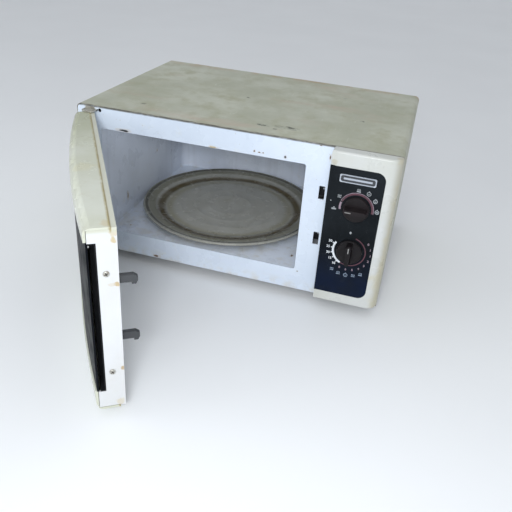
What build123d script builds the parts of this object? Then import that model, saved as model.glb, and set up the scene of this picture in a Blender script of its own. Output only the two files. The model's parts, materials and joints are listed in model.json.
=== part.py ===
"""Countertop microwave oven: cabinet, cooking cavity, works, turntable, dials and side-hung door.

Drawn in millimetres with x to the right, y to the back and z up. While drawing, zero is the
cabinet's front left corner at the lower edge of its cover, and the door is shut. At the end the
door set is swung open about its hinge, and everything moves so that the origin is under the
middle of the finished oven, on the surface that its feet stand on.
"""
import math
import os

from build123d import *

# ---- Cabinet ----------------------------------------------------------------------------------
cabinet_width = 459.0
cabinet_depth = 308.0
cabinet_height = 227.0
cover_sheet = 0.8
cover_corner = 7.0
chassis_sheet = 1.0
sheet_clearance = 0.2
foot_height = 14.0
foot_radius = 12.0
foot_inset = 42.0

# ---- Cooking cavity ---------------------------------------------------------------------------
cavity_left = 35.5
cavity_width = 300.0
cavity_depth = 297.0
cavity_floor = 30.0
cavity_ceiling = 197.0
cavity_sheet = 0.8
cavity_corner = 14.0
opening_bottom = 33.0
opening_top = 195.0
opening_corner = 3.0
floor_recess_depth = 8.0

# ---- Turntable --------------------------------------------------------------------------------
tray_radius = 145.5
tray_height = 10.0
tray_wall_width = 23.5
tray_step_width = 10.0
tray_rim_width = 5.0
glass_thickness = 4.0
roller_radius = 6.0
roller_width = 5.0
roller_inside_flat = 13.0
recess_beyond_rollers = 15.0
ring_inside_rollers = 15.0
ring_width = 8.0
roller_count = 3
rolling_gap = 0.3
running_clearance = 0.05
drive_shaft_radius = 3.5
tray_step_radius = tray_radius - tray_wall_width
tray_flat_radius = tray_step_radius - tray_step_width
roller_circle = tray_flat_radius - roller_inside_flat
floor_recess_radius = roller_circle + recess_beyond_rollers

# ---- Control panel ----------------------------------------------------------------------------
panel_left = 370.0
panel_depth = 18.0
panel_bottom = 3.5
panel_corner = 16.0
panel_wall = 2.5
fascia_width = 72.0
fascia_bottom = 19.0
fascia_top = 207.5
fascia_corner = 12.0
fascia_thickness = 1.4
dial_inset = 40.5
timer_dial_height = 89.5
power_dial_height = 153.0
knob_radius = 17.5
knob_skirt = 4.0
knob_reach = 15.0
knob_shaft_radius = 3.0

# ---- Door -------------------------------------------------------------------------------------
door_open_angle = 56.3
door_gap = 1.0
door_bottom = -2.0
door_top = 220.0
door_side_gap = 2.5
hinge_from_left = 23.0
hinge_from_plate = 9.0
hinge_pin_radius = 3.0
door_beyond_hinge = 6.5
inner_frame_thickness = 5.7
door_hinge_thickness = 26.0
door_crown_thickness = 38.0
door_free_thickness = 30.5
door_wall = 2.5
end_plate_width = 19.5
window_bottom = 23.0
window_top = 204.0
window_thickness = 3.0
grip_depth = 24.0

# ---- Latch ------------------------------------------------------------------------------------
slot_width = 8.0
slot_height = 19.3
slot_from_panel = 13.4
lower_slot_bottom = 79.8
upper_slot_bottom = 149.1
hook_width = 5.0
hook_height = 11.0
hook_travel = 3.0
hook_reach = 17.0
switch_travel = 2.0

# ---- Values that follow from the sizes above --------------------------------------------------
cavity_right = cavity_left + cavity_width
cavity_middle = cavity_left + cavity_width / 2
tray_depth = cavity_depth / 2 + chassis_sheet / 2
recess_floor = cavity_floor - floor_recess_depth
roller_axle_height = recess_floor + rolling_gap + roller_radius
tray_underside = roller_axle_height + roller_radius + rolling_gap
dial_middle = panel_left + dial_inset
panel_front = -panel_depth
inner_top = cabinet_height - cover_sheet - sheet_clearance
inner_right = cabinet_width - cover_sheet - sheet_clearance
inner_left = cover_sheet + sheet_clearance
back_inside = cabinet_depth - cover_sheet
door_left = hinge_from_left - door_beyond_hinge
door_right = panel_left - door_side_gap
door_middle = (door_left + door_right) / 2
door_back = -door_gap
shell_back = door_back - inner_frame_thickness
slot_left = panel_left - slot_from_panel
slot_middle = slot_left + slot_width / 2
bay_left = cavity_right + cavity_sheet
bay_middle = (bay_left + inner_right) / 2

pieces = {}
door_pieces = {}


def at_y(depth):
    """Upright plane across the cabinet; sketches use x and z, and extrusions run forwards."""
    return Plane.XZ.offset(-depth)


def at_x(across):
    """Upright plane along the cabinet; sketches use y and z, and extrusions run to the right."""
    return Plane.YZ.offset(across)


def at_z(height):
    """Level plane; sketches use x and y, and extrusions run upwards."""
    return Plane.XY.offset(height)


def rectangle_between(low, high, radius=0.0, mode=Mode.ADD):
    """Draw a rectangle between two corners in the sketch that is open."""
    with Locations(((low[0] + high[0]) / 2, (low[1] + high[1]) / 2)):
        if radius:
            RectangleRounded(high[0] - low[0], high[1] - low[1], radius, mode=mode)
        else:
            Rectangle(high[0] - low[0], high[1] - low[1], mode=mode)


# ---- Outer cover: a sheet wrapped over both sides and the top -----------------------------------
with BuildPart() as outer_cover:
    with BuildSketch(at_y(cabinet_depth)):
        rectangle_between((0, 0), (cabinet_width, cabinet_height))
        upper_corners = [v for v in vertices() if v.Y > cabinet_height / 2]
        fillet(upper_corners, cover_corner)
        rectangle_between(
            (cover_sheet, 0), (cabinet_width - cover_sheet, cabinet_height / 2), mode=Mode.SUBTRACT)
        rectangle_between(
            (cover_sheet, cover_corner), (cabinet_width - cover_sheet, cabinet_height - cover_sheet),
            cover_corner - cover_sheet, mode=Mode.SUBTRACT)
    extrude(amount=cabinet_depth)
    with BuildSketch(at_x(cabinet_width - cover_sheet)):
        with Locations((cabinet_depth * 0.66, cabinet_height * 0.30)):
            with GridLocations(7, 18, 12, 3):
                SlotOverall(13, 3, rotation=90)
    extrude(amount=cover_sheet, mode=Mode.SUBTRACT)
pieces["outer_cover"] = outer_cover

# ---- Base plate with upturned sides, air slots and the four feet --------------------------------
foot_places = [
    (foot_inset, foot_inset),
    (cabinet_width - foot_inset, foot_inset),
    (foot_inset, cabinet_depth - foot_inset),
    (cabinet_width - foot_inset, cabinet_depth - foot_inset),
]
base_flange = 12.0
with BuildPart() as base_plate:
    with BuildSketch(at_y(back_inside)):
        rectangle_between((inner_left, 0), (inner_right, base_flange))
        rectangle_between(
            (inner_left + chassis_sheet, chassis_sheet), (inner_right - chassis_sheet, base_flange),
            mode=Mode.SUBTRACT)
    extrude(amount=back_inside - 2 * chassis_sheet)
    with BuildSketch(at_z(0)):
        with Locations((bay_left + 42, cabinet_depth * 0.2)):
            with GridLocations(9, 30, 6, 2):
                SlotOverall(20, 4, rotation=90)
    extrude(amount=chassis_sheet, mode=Mode.SUBTRACT)
pieces["base_plate"] = base_plate

with BuildPart() as feet:
    with BuildSketch(at_z(-foot_height)):
        with Locations(foot_places):
            Circle(foot_radius * 0.85)
    with BuildSketch(at_z(0)):
        with Locations(foot_places):
            Circle(foot_radius)
    for lower, upper in zip(feet.pending_faces[:4], feet.pending_faces[4:]):
        loft(sections=[lower, upper])
    feet.pending_faces.clear()
pieces["feet"] = feet

# ---- Rear panel with rows of air slots and the cord's inlet hole --------------------------------
gland_across = cabinet_width - 52.0
gland_height = 30.0
gland_radius = 5.5
with BuildPart() as rear_panel:
    with BuildSketch(at_y(cabinet_depth)):
        rectangle_between((inner_left, chassis_sheet), (inner_right, inner_top), cover_corner - 1)
        with Locations((bay_middle + 2, cabinet_height * 0.66)):
            with GridLocations(8, 24, 11, 3):
                SlotOverall(18, 3.6, rotation=90, mode=Mode.SUBTRACT)
        with Locations((cavity_middle - 60, cabinet_height * 0.78)):
            with GridLocations(9, 1, 10, 1):
                SlotOverall(22, 4, rotation=90, mode=Mode.SUBTRACT)
        with Locations((gland_across, gland_height)):
            Circle(gland_radius, mode=Mode.SUBTRACT)
    extrude(amount=cover_sheet)
pieces["rear_panel"] = rear_panel

with BuildPart() as cord_gland:
    with BuildSketch(at_y(cabinet_depth)):
        with Locations((gland_across, gland_height)):
            Circle(gland_radius + 3)
            Circle(gland_radius - 2, mode=Mode.SUBTRACT)
    extrude(amount=-2)
    with BuildSketch(at_y(cabinet_depth)):
        with Locations((gland_across, gland_height)):
            Circle(gland_radius)
            Circle(gland_radius - 2, mode=Mode.SUBTRACT)
    extrude(amount=4)
pieces["cord_gland"] = cord_gland

# Cover screws: three into the rear panel's upper edge line and one low on each side.
screw_head_radius = 3.6
rear_screw_places = [
    (cabinet_width * 0.08, cabinet_height - 14), (cabinet_width * 0.55, cabinet_height - 14),
    (cabinet_width * 0.92, cabinet_height - 14)]
with BuildPart() as cover_screws:
    with BuildSketch(at_y(cabinet_depth)):
        with Locations(rear_screw_places):
            Circle(screw_head_radius)
    extrude(amount=-2.2)
    heads = cover_screws.edges().filter_by(GeomType.CIRCLE).group_by(Axis.Y)[-1]
    fillet(heads, 1.2)
pieces["cover_screws"] = cover_screws

# ---- Front plate around the cavity's mouth, with the two latch slots ----------------------------
plate_right = panel_left + 12.0
plate_edge = 9.0
hinge_hole_radius = 2.6
with BuildPart() as front_plate:
    with BuildSketch(at_y(chassis_sheet)):
        rectangle_between((inner_left, 0), (plate_right, inner_top))
        outer_corner = [v for v in vertices() if v.X < cavity_left and v.Y > opening_top]
        fillet(outer_corner, cover_corner)
        rectangle_between(
            (cavity_left, opening_bottom), (cavity_right, opening_top), opening_corner,
            mode=Mode.SUBTRACT)
        for slot_bottom in (lower_slot_bottom, upper_slot_bottom):
            rectangle_between(
                (slot_left, slot_bottom), (slot_left + slot_width, slot_bottom + slot_height), 0.8,
                mode=Mode.SUBTRACT)
        with Locations((hinge_from_left + 12.5, inner_top - 5.2)):
            Circle(hinge_hole_radius, mode=Mode.SUBTRACT)
    extrude(amount=chassis_sheet)
    with BuildSketch(at_y(plate_edge)):
        rectangle_between((inner_left + cover_corner, inner_top - chassis_sheet), (plate_right, inner_top))
    extrude(amount=plate_edge - chassis_sheet)
pieces["front_plate"] = front_plate

# ---- Cavity liner: one drawn box with a round recess for the turntable --------------------------
liner_front = chassis_sheet
liner_back = chassis_sheet + cavity_depth
flange_width = 7.0
waveguide_front = 92.0
waveguide_bottom = 104.0
waveguide_height = 62.0
waveguide_length = 88.0
waveguide_depth = 24.0
mica_front = waveguide_front + 8
mica_bottom = waveguide_bottom + 8
mica_length = 64.0
mica_height = 46.0
motor_hole_radius = 9.0


def cavity_outline(grow):
    """Plan of the cavity with rounded rear corners, grown outwards by the sheet."""
    rectangle_between((cavity_left - grow, liner_front), (cavity_right + grow, liner_back + grow))
    rear_corners = [v for v in vertices() if v.Y > liner_back / 2]
    fillet(rear_corners, cavity_corner + grow)


with BuildPart() as cavity_liner:
    with BuildSketch(at_z(cavity_floor - cavity_sheet)):
        cavity_outline(cavity_sheet)
    extrude(amount=cavity_ceiling - cavity_floor + 2 * cavity_sheet)
    with BuildSketch(at_z(recess_floor - cavity_sheet)):
        with Locations((cavity_middle, tray_depth)):
            Circle(floor_recess_radius + cavity_sheet)
    extrude(amount=floor_recess_depth)
    with BuildSketch(at_y(liner_front + cavity_sheet)):
        rectangle_between(
            (cavity_left - flange_width, opening_bottom - flange_width - 3),
            (cavity_right + flange_width, cavity_ceiling + flange_width), 4)
    extrude(amount=cavity_sheet)
    with BuildSketch(at_z(cavity_floor)):
        cavity_outline(0)
    extrude(amount=cavity_ceiling - cavity_floor, mode=Mode.SUBTRACT)
    with BuildSketch(at_z(recess_floor)):
        with Locations((cavity_middle, tray_depth)):
            Circle(floor_recess_radius)
    extrude(amount=floor_recess_depth, mode=Mode.SUBTRACT)
    with BuildSketch(at_z(recess_floor - cavity_sheet)):
        with Locations((cavity_middle, tray_depth)):
            Circle(motor_hole_radius)
    extrude(amount=cavity_sheet, mode=Mode.SUBTRACT)
    with BuildSketch(at_x(cavity_right)):
        rectangle_between(
            (mica_front + 4, mica_bottom + 4),
            (mica_front + mica_length - 4, mica_bottom + mica_height - 4), 4)
        with Locations((cavity_depth * 0.74, cavity_ceiling - 28)):
            with GridLocations(6, 6, 6, 5):
                Circle(1.8)
    extrude(amount=cavity_sheet, mode=Mode.SUBTRACT)
    with BuildSketch(at_x(cavity_left - cavity_sheet)):
        with Locations((cavity_depth * 0.78, cavity_ceiling - 26)):
            with GridLocations(6, 6, 8, 4):
                Circle(1.8)
    extrude(amount=cavity_sheet, mode=Mode.SUBTRACT)
pieces["cavity_liner"] = cavity_liner

with BuildPart() as waveguide_cover:
    with BuildSketch(at_x(cavity_right - 0.6)):
        rectangle_between(
            (mica_front, mica_bottom), (mica_front + mica_length, mica_bottom + mica_height), 3)
    extrude(amount=0.6)
pieces["waveguide_cover"] = waveguide_cover

# ---- Waveguide, a folded box on the cavity's right wall -----------------------------------------
antenna_depth = waveguide_front + waveguide_length - 26
antenna_height = waveguide_bottom + waveguide_height / 2
antenna_radius = 8.0
with BuildPart() as waveguide:
    with BuildSketch(at_x(bay_left)):
        rectangle_between(
            (waveguide_front, waveguide_bottom),
            (waveguide_front + waveguide_length, waveguide_bottom + waveguide_height), 3)
    extrude(amount=waveguide_depth)
    with BuildSketch(at_x(bay_left)):
        rectangle_between(
            (waveguide_front + 1, waveguide_bottom + 1),
            (waveguide_front + waveguide_length - 1, waveguide_bottom + waveguide_height - 1), 2)
    extrude(amount=waveguide_depth - 1, mode=Mode.SUBTRACT)
    with BuildSketch(at_x(bay_left + waveguide_depth - 1)):
        with Locations((antenna_depth, antenna_height)):
            Circle(antenna_radius + 2)
    extrude(amount=1, mode=Mode.SUBTRACT)
pieces["waveguide"] = waveguide

# ---- Magnetron: steel yoke, finned anode and antenna --------------------------------------------
yoke_left = bay_left + waveguide_depth
yoke_length = 72.0
yoke_height = 66.0
yoke_width = 78.0
yoke_wall = 2.0
with BuildPart() as magnetron_yoke:
    with BuildSketch(at_y(antenna_depth + yoke_width / 2)):
        rectangle_between(
            (yoke_left, antenna_height - yoke_height / 2),
            (yoke_left + yoke_length, antenna_height + yoke_height / 2))
        rectangle_between(
            (yoke_left + yoke_wall, antenna_height - yoke_height / 2 + yoke_wall),
            (yoke_left + yoke_length - yoke_wall, antenna_height + yoke_height / 2 - yoke_wall),
            mode=Mode.SUBTRACT)
    extrude(amount=yoke_width)
    with BuildSketch(at_x(yoke_left)):
        with Locations((antenna_depth, antenna_height)):
            Circle(antenna_radius + 1)
    extrude(amount=yoke_wall, mode=Mode.SUBTRACT)
pieces["magnetron_yoke"] = magnetron_yoke

anode_radius = 19.0
fin_count = 9
fin_pitch = 5.0
with BuildPart() as magnetron_anode:
    with BuildSketch(at_x(bay_left + 4)):
        with Locations((antenna_depth, antenna_height)):
            Circle(antenna_radius)
    extrude(amount=waveguide_depth)
    with BuildSketch(at_x(yoke_left + yoke_wall)):
        with Locations((antenna_depth, antenna_height)):
            Circle(anode_radius)
    extrude(amount=yoke_length - 2 * yoke_wall)
    for fin in range(fin_count):
        with BuildSketch(at_x(yoke_left + 14 + fin * fin_pitch)):
            rectangle_between(
                (antenna_depth - yoke_width / 2 + 2, antenna_height - yoke_height / 2 + yoke_wall),
                (antenna_depth + yoke_width / 2 - 2, antenna_height + yoke_height / 2 - yoke_wall))
        extrude(amount=0.8)
pieces["magnetron_anode"] = magnetron_anode

# ---- High-voltage transformer: laminated core and two windings ----------------------------------
core_width = 86.0
core_length = 58.0
core_height = 74.0
core_left = bay_middle - core_width / 2 + 2
core_front = 205.0
core_limb = 14.0
with BuildPart() as transformer_core:
    with BuildSketch(at_y(core_front + core_length)):
        rectangle_between(
            (core_left, chassis_sheet), (core_left + core_width, chassis_sheet + core_height))
        for window_left in (core_left + core_limb, core_left + core_width / 2 + core_limb):
            rectangle_between(
                (window_left, chassis_sheet + core_limb),
                (window_left + core_width / 2 - 2 * core_limb, chassis_sheet + core_height - core_limb),
                mode=Mode.SUBTRACT)
    extrude(amount=core_length)
pieces["transformer_core"] = transformer_core

winding_gap = 0.5
winding_height = (core_height - 2 * core_limb - 3 * winding_gap) / 2
winding_width = core_width - 2 * core_limb - 2 * winding_gap
for winding, label in enumerate(("primary_winding", "secondary_winding")):
    winding_bottom = chassis_sheet + core_limb + winding_gap + winding * (winding_height + winding_gap)
    with BuildPart() as transformer_winding:
        with BuildSketch(at_z(winding_bottom)):
            with Locations((core_left + core_width / 2, core_front + core_length / 2)):
                RectangleRounded(winding_width, core_length + core_width / 2 - core_limb, 10)
                Rectangle(2 * core_limb + 1, core_length + 1, mode=Mode.SUBTRACT)
        extrude(amount=winding_height)
    pieces[label] = transformer_winding

# ---- Capacitor lying on the base under the magnetron, its clamp and the diode -------------------
capacitor_length = 84.0
capacitor_width = 52.0
capacitor_height = 33.0
capacitor_left = bay_left + 16
capacitor_front = 120.0
with BuildPart() as capacitor:
    with BuildSketch(at_x(capacitor_left)):
        with Locations((capacitor_front + capacitor_width / 2, chassis_sheet + capacitor_height / 2)):
            SlotOverall(capacitor_width, capacitor_height)
    extrude(amount=capacitor_length)
    with BuildSketch(at_x(capacitor_left + capacitor_length)):
        with Locations((capacitor_front + capacitor_width / 2, chassis_sheet + capacitor_height / 2)):
            with GridLocations(22, 1, 2, 1):
                Rectangle(6, 8)
    extrude(amount=8)
pieces["capacitor"] = capacitor

clamp_sheet = 1.2
with BuildPart() as capacitor_clamp:
    with BuildSketch(at_x(capacitor_left + 30)):
        with Locations((capacitor_front + capacitor_width / 2, chassis_sheet + capacitor_height / 2)):
            SlotOverall(capacitor_width + 2 * clamp_sheet, capacitor_height + 2 * clamp_sheet)
        rectangle_between(
            (capacitor_front - 14, chassis_sheet),
            (capacitor_front + capacitor_width / 2, chassis_sheet + clamp_sheet))
        with Locations((capacitor_front + capacitor_width / 2, chassis_sheet + capacitor_height / 2)):
            SlotOverall(capacitor_width, capacitor_height, mode=Mode.SUBTRACT)
        rectangle_between(
            (capacitor_front - 20, -clamp_sheet),
            (capacitor_front + capacitor_width + 20, chassis_sheet), mode=Mode.SUBTRACT)
    extrude(amount=14)
pieces["capacitor_clamp"] = capacitor_clamp

with BuildPart() as hv_diode:
    with BuildSketch(at_x(capacitor_left + 12)):
        with Locations((capacitor_front - 12, chassis_sheet + 18)):
            Circle(3.2)
    extrude(amount=20)
    with BuildSketch(at_x(capacitor_left - 2)):
        with Locations((capacitor_front - 12, chassis_sheet + 18)):
            Circle(0.8)
    extrude(amount=48)
pieces["hv_diode"] = hv_diode

# ---- Cooling fan behind the magnetron -----------------------------------------------------------
fan_middle = bay_middle + 3
fan_height = 148.0
fan_hole_radius = 46.0
fan_plate_back = cabinet_depth - 8.0
fan_shroud_depth = 18.0
fan_blade_radius = 44.0
fan_shaft_radius = 1.6
fan_plate_low = (fan_middle - 54, fan_height - 54)
fan_plate_high = (fan_middle + 54, fan_height + 54)
with BuildPart() as fan_shroud:
    with BuildSketch(at_y(fan_plate_back)):
        rectangle_between(fan_plate_low, fan_plate_high, 5)
        with Locations((fan_middle, fan_height)):
            Circle(fan_hole_radius, mode=Mode.SUBTRACT)
    extrude(amount=2)
    with BuildSketch(at_y(fan_plate_back - 2)):
        with Locations((fan_middle, fan_height)):
            Circle(fan_hole_radius + 2)
            Circle(fan_hole_radius, mode=Mode.SUBTRACT)
    extrude(amount=fan_shroud_depth)
    fan_front = fan_plate_back - 2 - fan_shroud_depth
    with BuildSketch(at_y(fan_front)):
        with Locations((fan_middle, fan_height)):
            Rectangle(2 * fan_hole_radius + 4, 12)
    extrude(amount=2)
    with BuildSketch(at_y(fan_front)):
        with Locations((fan_middle, fan_height)):
            Circle(fan_shaft_radius + 1.5)
    extrude(amount=2, mode=Mode.SUBTRACT)
pieces["fan_shroud"] = fan_shroud

fan_motor_width = 48.0
fan_motor_height = 42.0
fan_motor_depth = 16.0
fan_bore_radius = fan_shaft_radius + running_clearance
with BuildPart() as fan_motor:
    with BuildSketch(at_y(fan_front - 2)):
        with Locations((fan_middle, fan_height)):
            Rectangle(fan_motor_width, fan_motor_height)
            Circle(fan_bore_radius, mode=Mode.SUBTRACT)
        with Locations((fan_middle, fan_height - 14)):
            Rectangle(24, 6, mode=Mode.SUBTRACT)
    extrude(amount=fan_motor_depth)
pieces["fan_motor"] = fan_motor

with BuildPart() as fan_coil:
    with BuildSketch(at_y(fan_front - 2 - fan_motor_depth)):
        with Locations((fan_middle, fan_height - 16)):
            RectangleRounded(23, 20, 4)
    extrude(amount=9)
pieces["fan_coil"] = fan_coil

blade_count = 7
blade_plane = fan_plate_back - 6.0
with BuildPart() as fan_blade:
    with BuildSketch(at_y(blade_plane)):
        with Locations((fan_middle, fan_height)):
            Circle(11)
    extrude(amount=10)
    with BuildSketch(at_y(blade_plane - 10)):
        with Locations((fan_middle, fan_height)):
            Circle(fan_shaft_radius)
    extrude(amount=blade_plane - 10 - (fan_front - 2 - fan_motor_depth) - 1)
    for blade in range(blade_count):
        turn = math.radians(360 / blade_count * blade)
        blade_axis = Plane(
            origin=(fan_middle, blade_plane - 5, fan_height), x_dir=(0, 1, 0),
            z_dir=(math.cos(turn), 0, math.sin(turn)))
        with BuildSketch(blade_axis.offset(9)):
            Rectangle(1.2, 26, rotation=30)
        extrude(amount=fan_blade_radius)
    with BuildSketch(at_y(cabinet_depth)):
        with Locations((fan_middle, fan_height)):
            Circle(fan_blade_radius)
    extrude(amount=cabinet_depth, mode=Mode.INTERSECT)
pieces["fan_blade"] = fan_blade

# ---- Mains filter board, thermal cut-out and oven lamp ------------------------------------------
board_low = (cavity_right - 110, 200.0)
board_high = (cavity_right - 30, 270.0)
board_height = cavity_ceiling + cavity_sheet + 7
with BuildPart() as filter_board:
    with BuildSketch(at_z(board_height)):
        rectangle_between(board_low, board_high, 2)
    extrude(amount=1.6)
    with BuildSketch(at_z(cavity_ceiling + cavity_sheet)):
        with Locations(((board_low[0] + board_high[0]) / 2, (board_low[1] + board_high[1]) / 2)):
            with GridLocations(66, 56, 2, 2):
                Circle(3)
    extrude(amount=board_height - cavity_ceiling - cavity_sheet)
    with BuildSketch(at_z(board_height + 1.6)):
        with Locations((board_low[0] + 22, board_low[1] + 24), (board_low[0] + 22, board_low[1] + 50)):
            Circle(9)
            Circle(4, mode=Mode.SUBTRACT)
        with Locations((board_low[0] + 56, board_low[1] + 36)):
            Rectangle(12, 34)
    extrude(amount=12)
pieces["filter_board"] = filter_board

with BuildPart() as thermal_cutout:
    with BuildSketch(at_x(bay_left)):
        with Locations((62, cavity_ceiling - 20)):
            SlotOverall(30, 11)
    extrude(amount=1)
    with BuildSketch(at_x(bay_left + 1)):
        with Locations((62, cavity_ceiling - 20)):
            Circle(7)
    extrude(amount=8)
    with BuildSketch(at_x(bay_left + 9)):
        with Locations((62, cavity_ceiling - 20)):
            with GridLocations(7, 1, 2, 1):
                Rectangle(0.8, 6)
    extrude(amount=7)
pieces["thermal_cutout"] = thermal_cutout

lamp_depth = cavity_depth * 0.74
lamp_height = cavity_ceiling - 28
with BuildPart() as lamp_holder:
    with BuildSketch(at_x(bay_left)):
        with Locations((lamp_depth, lamp_height)):
            RectangleRounded(42, 34, 3)
            RectangleRounded(38, 30, 2, mode=Mode.SUBTRACT)
    extrude(amount=20)
    with BuildSketch(at_x(bay_left + 20)):
        with Locations((lamp_depth, lamp_height)):
            RectangleRounded(42, 34, 3)
            Circle(6.2, mode=Mode.SUBTRACT)
    extrude(amount=2)
pieces["lamp_holder"] = lamp_holder

with BuildPart() as lamp_bulb:
    with BuildSketch(at_z(lamp_height)):
        with BuildLine():
            bulb_tip = (bay_left + 3, lamp_depth)
            bulb_side = (bay_left + 11, lamp_depth + 8)
            bulb_neck = (bay_left + 19, lamp_depth + 5.8)
            bulb_foot = (bay_left + 34, lamp_depth + 5.8)
            ThreePointArc(bulb_tip, (bay_left + 5.34, lamp_depth + 5.66), bulb_side)
            Line(bulb_side, bulb_neck)
            Line(bulb_neck, bulb_foot)
            Line(bulb_foot, (bay_left + 34, lamp_depth))
            Line((bay_left + 34, lamp_depth), bulb_tip)
        make_face()
    revolve(axis=Axis((bay_left, lamp_depth, lamp_height), (1, 0, 0)))
pieces["lamp_bulb"] = lamp_bulb

# ---- Turntable motor, coupler, roller ring, rollers and glass tray ------------------------------
motor_radius = 24.0
motor_top = recess_floor - cavity_sheet
motor_height = 14.0
motor_bore_radius = drive_shaft_radius + running_clearance
with BuildPart() as turntable_motor:
    with BuildSketch(at_z(motor_top - motor_height)):
        with Locations((cavity_middle, tray_depth)):
            Circle(motor_radius)
            Circle(motor_bore_radius, mode=Mode.SUBTRACT)
    extrude(amount=motor_height)
    with BuildSketch(at_z(motor_top - 1.2)):
        with Locations((cavity_middle, tray_depth)):
            SlotOverall(2 * motor_radius + 22, 12)
            Circle(motor_radius, mode=Mode.SUBTRACT)
    extrude(amount=1.2)
pieces["turntable_motor"] = turntable_motor

coupler_bottom = recess_floor + 1.0
coupler_top = tray_underside - 0.7
coupler_arm = 17.0
with BuildPart() as drive_coupler:
    with BuildSketch(at_z(motor_top - motor_height + 3)):
        with Locations((cavity_middle, tray_depth)):
            Circle(drive_shaft_radius)
    extrude(amount=coupler_bottom - motor_top + motor_height - 3)
    with BuildSketch(at_z(coupler_bottom)):
        with Locations((cavity_middle, tray_depth)):
            Circle(8)
            with PolarLocations(coupler_arm / 2, 3):
                SlotOverall(coupler_arm, 6)
    extrude(amount=coupler_top - coupler_bottom)
pieces["drive_coupler"] = drive_coupler

ring_outer_radius = roller_circle - ring_inside_rollers
ring_inner_radius = ring_outer_radius - ring_width
ring_thickness = 3.6
axle_radius = 1.6
axle_cap_radius = 3.0
roller_side_gap = 0.4
roller_inside = roller_circle - roller_width / 2
roller_outside = roller_circle + roller_width / 2
with BuildPart() as roller_ring:
    with BuildSketch(at_z(roller_axle_height - ring_thickness / 2)):
        with Locations((cavity_middle, tray_depth)):
            Circle(ring_outer_radius)
            Circle(ring_inner_radius, mode=Mode.SUBTRACT)
    extrude(amount=ring_thickness)
    for roller in range(roller_count):
        turn = math.radians(360 / roller_count * roller + 30)
        axle = Plane(
            origin=(cavity_middle, tray_depth, roller_axle_height), z_dir=(math.cos(turn), math.sin(turn), 0))
        with BuildSketch(axle.offset(ring_outer_radius - 2)):
            Circle(axle_cap_radius)
        extrude(amount=roller_inside - roller_side_gap - ring_outer_radius + 2)
        with BuildSketch(axle.offset(roller_inside - roller_side_gap)):
            Circle(axle_radius)
        extrude(amount=roller_width + 2 * roller_side_gap)
        with BuildSketch(axle.offset(roller_outside + roller_side_gap)):
            Circle(axle_cap_radius)
        extrude(amount=1.8)
pieces["roller_ring"] = roller_ring

for roller in range(roller_count):
    turn = math.radians(360 / roller_count * roller + 30)
    axle = Plane(
        origin=(cavity_middle, tray_depth, roller_axle_height), z_dir=(math.cos(turn), math.sin(turn), 0))
    with BuildPart() as ring_roller:
        with BuildSketch(axle.offset(roller_inside)):
            Circle(roller_radius)
            Circle(axle_radius + running_clearance, mode=Mode.SUBTRACT)
        extrude(amount=roller_width)
        rims = ring_roller.edges().filter_by(GeomType.CIRCLE).sort_by(SortBy.RADIUS)[-2:]
        chamfer(rims, 0.6)
    pieces[f"ring_roller_{roller + 1}"] = ring_roller

lug_radius = 3.0
lug_circle = 14.0
with BuildPart() as glass_tray:
    with BuildSketch(Plane.XZ):
        with BuildLine():
            rim_top = tray_underside + tray_height
            rim_outer = (tray_radius, rim_top - 1.6)
            rim_crest = (tray_radius - 1.6, rim_top)
            Polyline(
                (0, tray_underside), (tray_flat_radius, tray_underside),
                (tray_step_radius, tray_underside + 2.0),
                (tray_radius - tray_rim_width, rim_top - 4.2), (tray_radius, rim_top - 3.6), rim_outer)
            Polyline(rim_outer, rim_crest, (tray_radius - tray_rim_width, rim_top))
            Polyline(
                (tray_radius - tray_rim_width, rim_top),
                (tray_step_radius - 2, tray_underside + 2.0 + glass_thickness),
                (tray_flat_radius - 2, tray_underside + glass_thickness),
                (0, tray_underside + glass_thickness), (0, tray_underside))
        make_face()
    revolve(axis=Axis.Z)
    with BuildSketch(at_z(tray_underside - 4)):
        with PolarLocations(lug_circle, 3, start_angle=60):
            Circle(lug_radius)
    extrude(amount=4)
tray_part = Pos(cavity_middle, tray_depth, 0) * glass_tray.part

# ---- Latch board behind the slots, with its two switches ----------------------------------------
board_front = chassis_sheet
latch_board_left = slot_left - 8
latch_board_right = slot_left + slot_width + 3
latch_board_bottom = lower_slot_bottom - 16
latch_board_top = upper_slot_bottom + slot_height + 16
latch_board_depth = 44.0
with BuildPart() as latch_board:
    with BuildSketch(at_y(board_front + 2.5)):
        rectangle_between(
            (latch_board_left, latch_board_bottom), (latch_board_right, latch_board_top), 2)
        for slot_bottom in (lower_slot_bottom, upper_slot_bottom):
            rectangle_between(
                (slot_left - 0.5, slot_bottom - 0.5),
                (slot_left + slot_width + 0.5, slot_bottom + slot_height + 0.5), mode=Mode.SUBTRACT)
    extrude(amount=2.5)
    with BuildSketch(at_y(board_front + latch_board_depth)):
        rectangle_between(
            (latch_board_left, latch_board_bottom), (latch_board_left + 2.5, latch_board_top))
        rectangle_between(
            (latch_board_left, latch_board_bottom), (latch_board_right, latch_board_bottom + 2.5))
        rectangle_between(
            (latch_board_left, latch_board_top - 2.5), (latch_board_right, latch_board_top))
    extrude(amount=latch_board_depth - 2.5)
pieces["latch_board"] = latch_board

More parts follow.
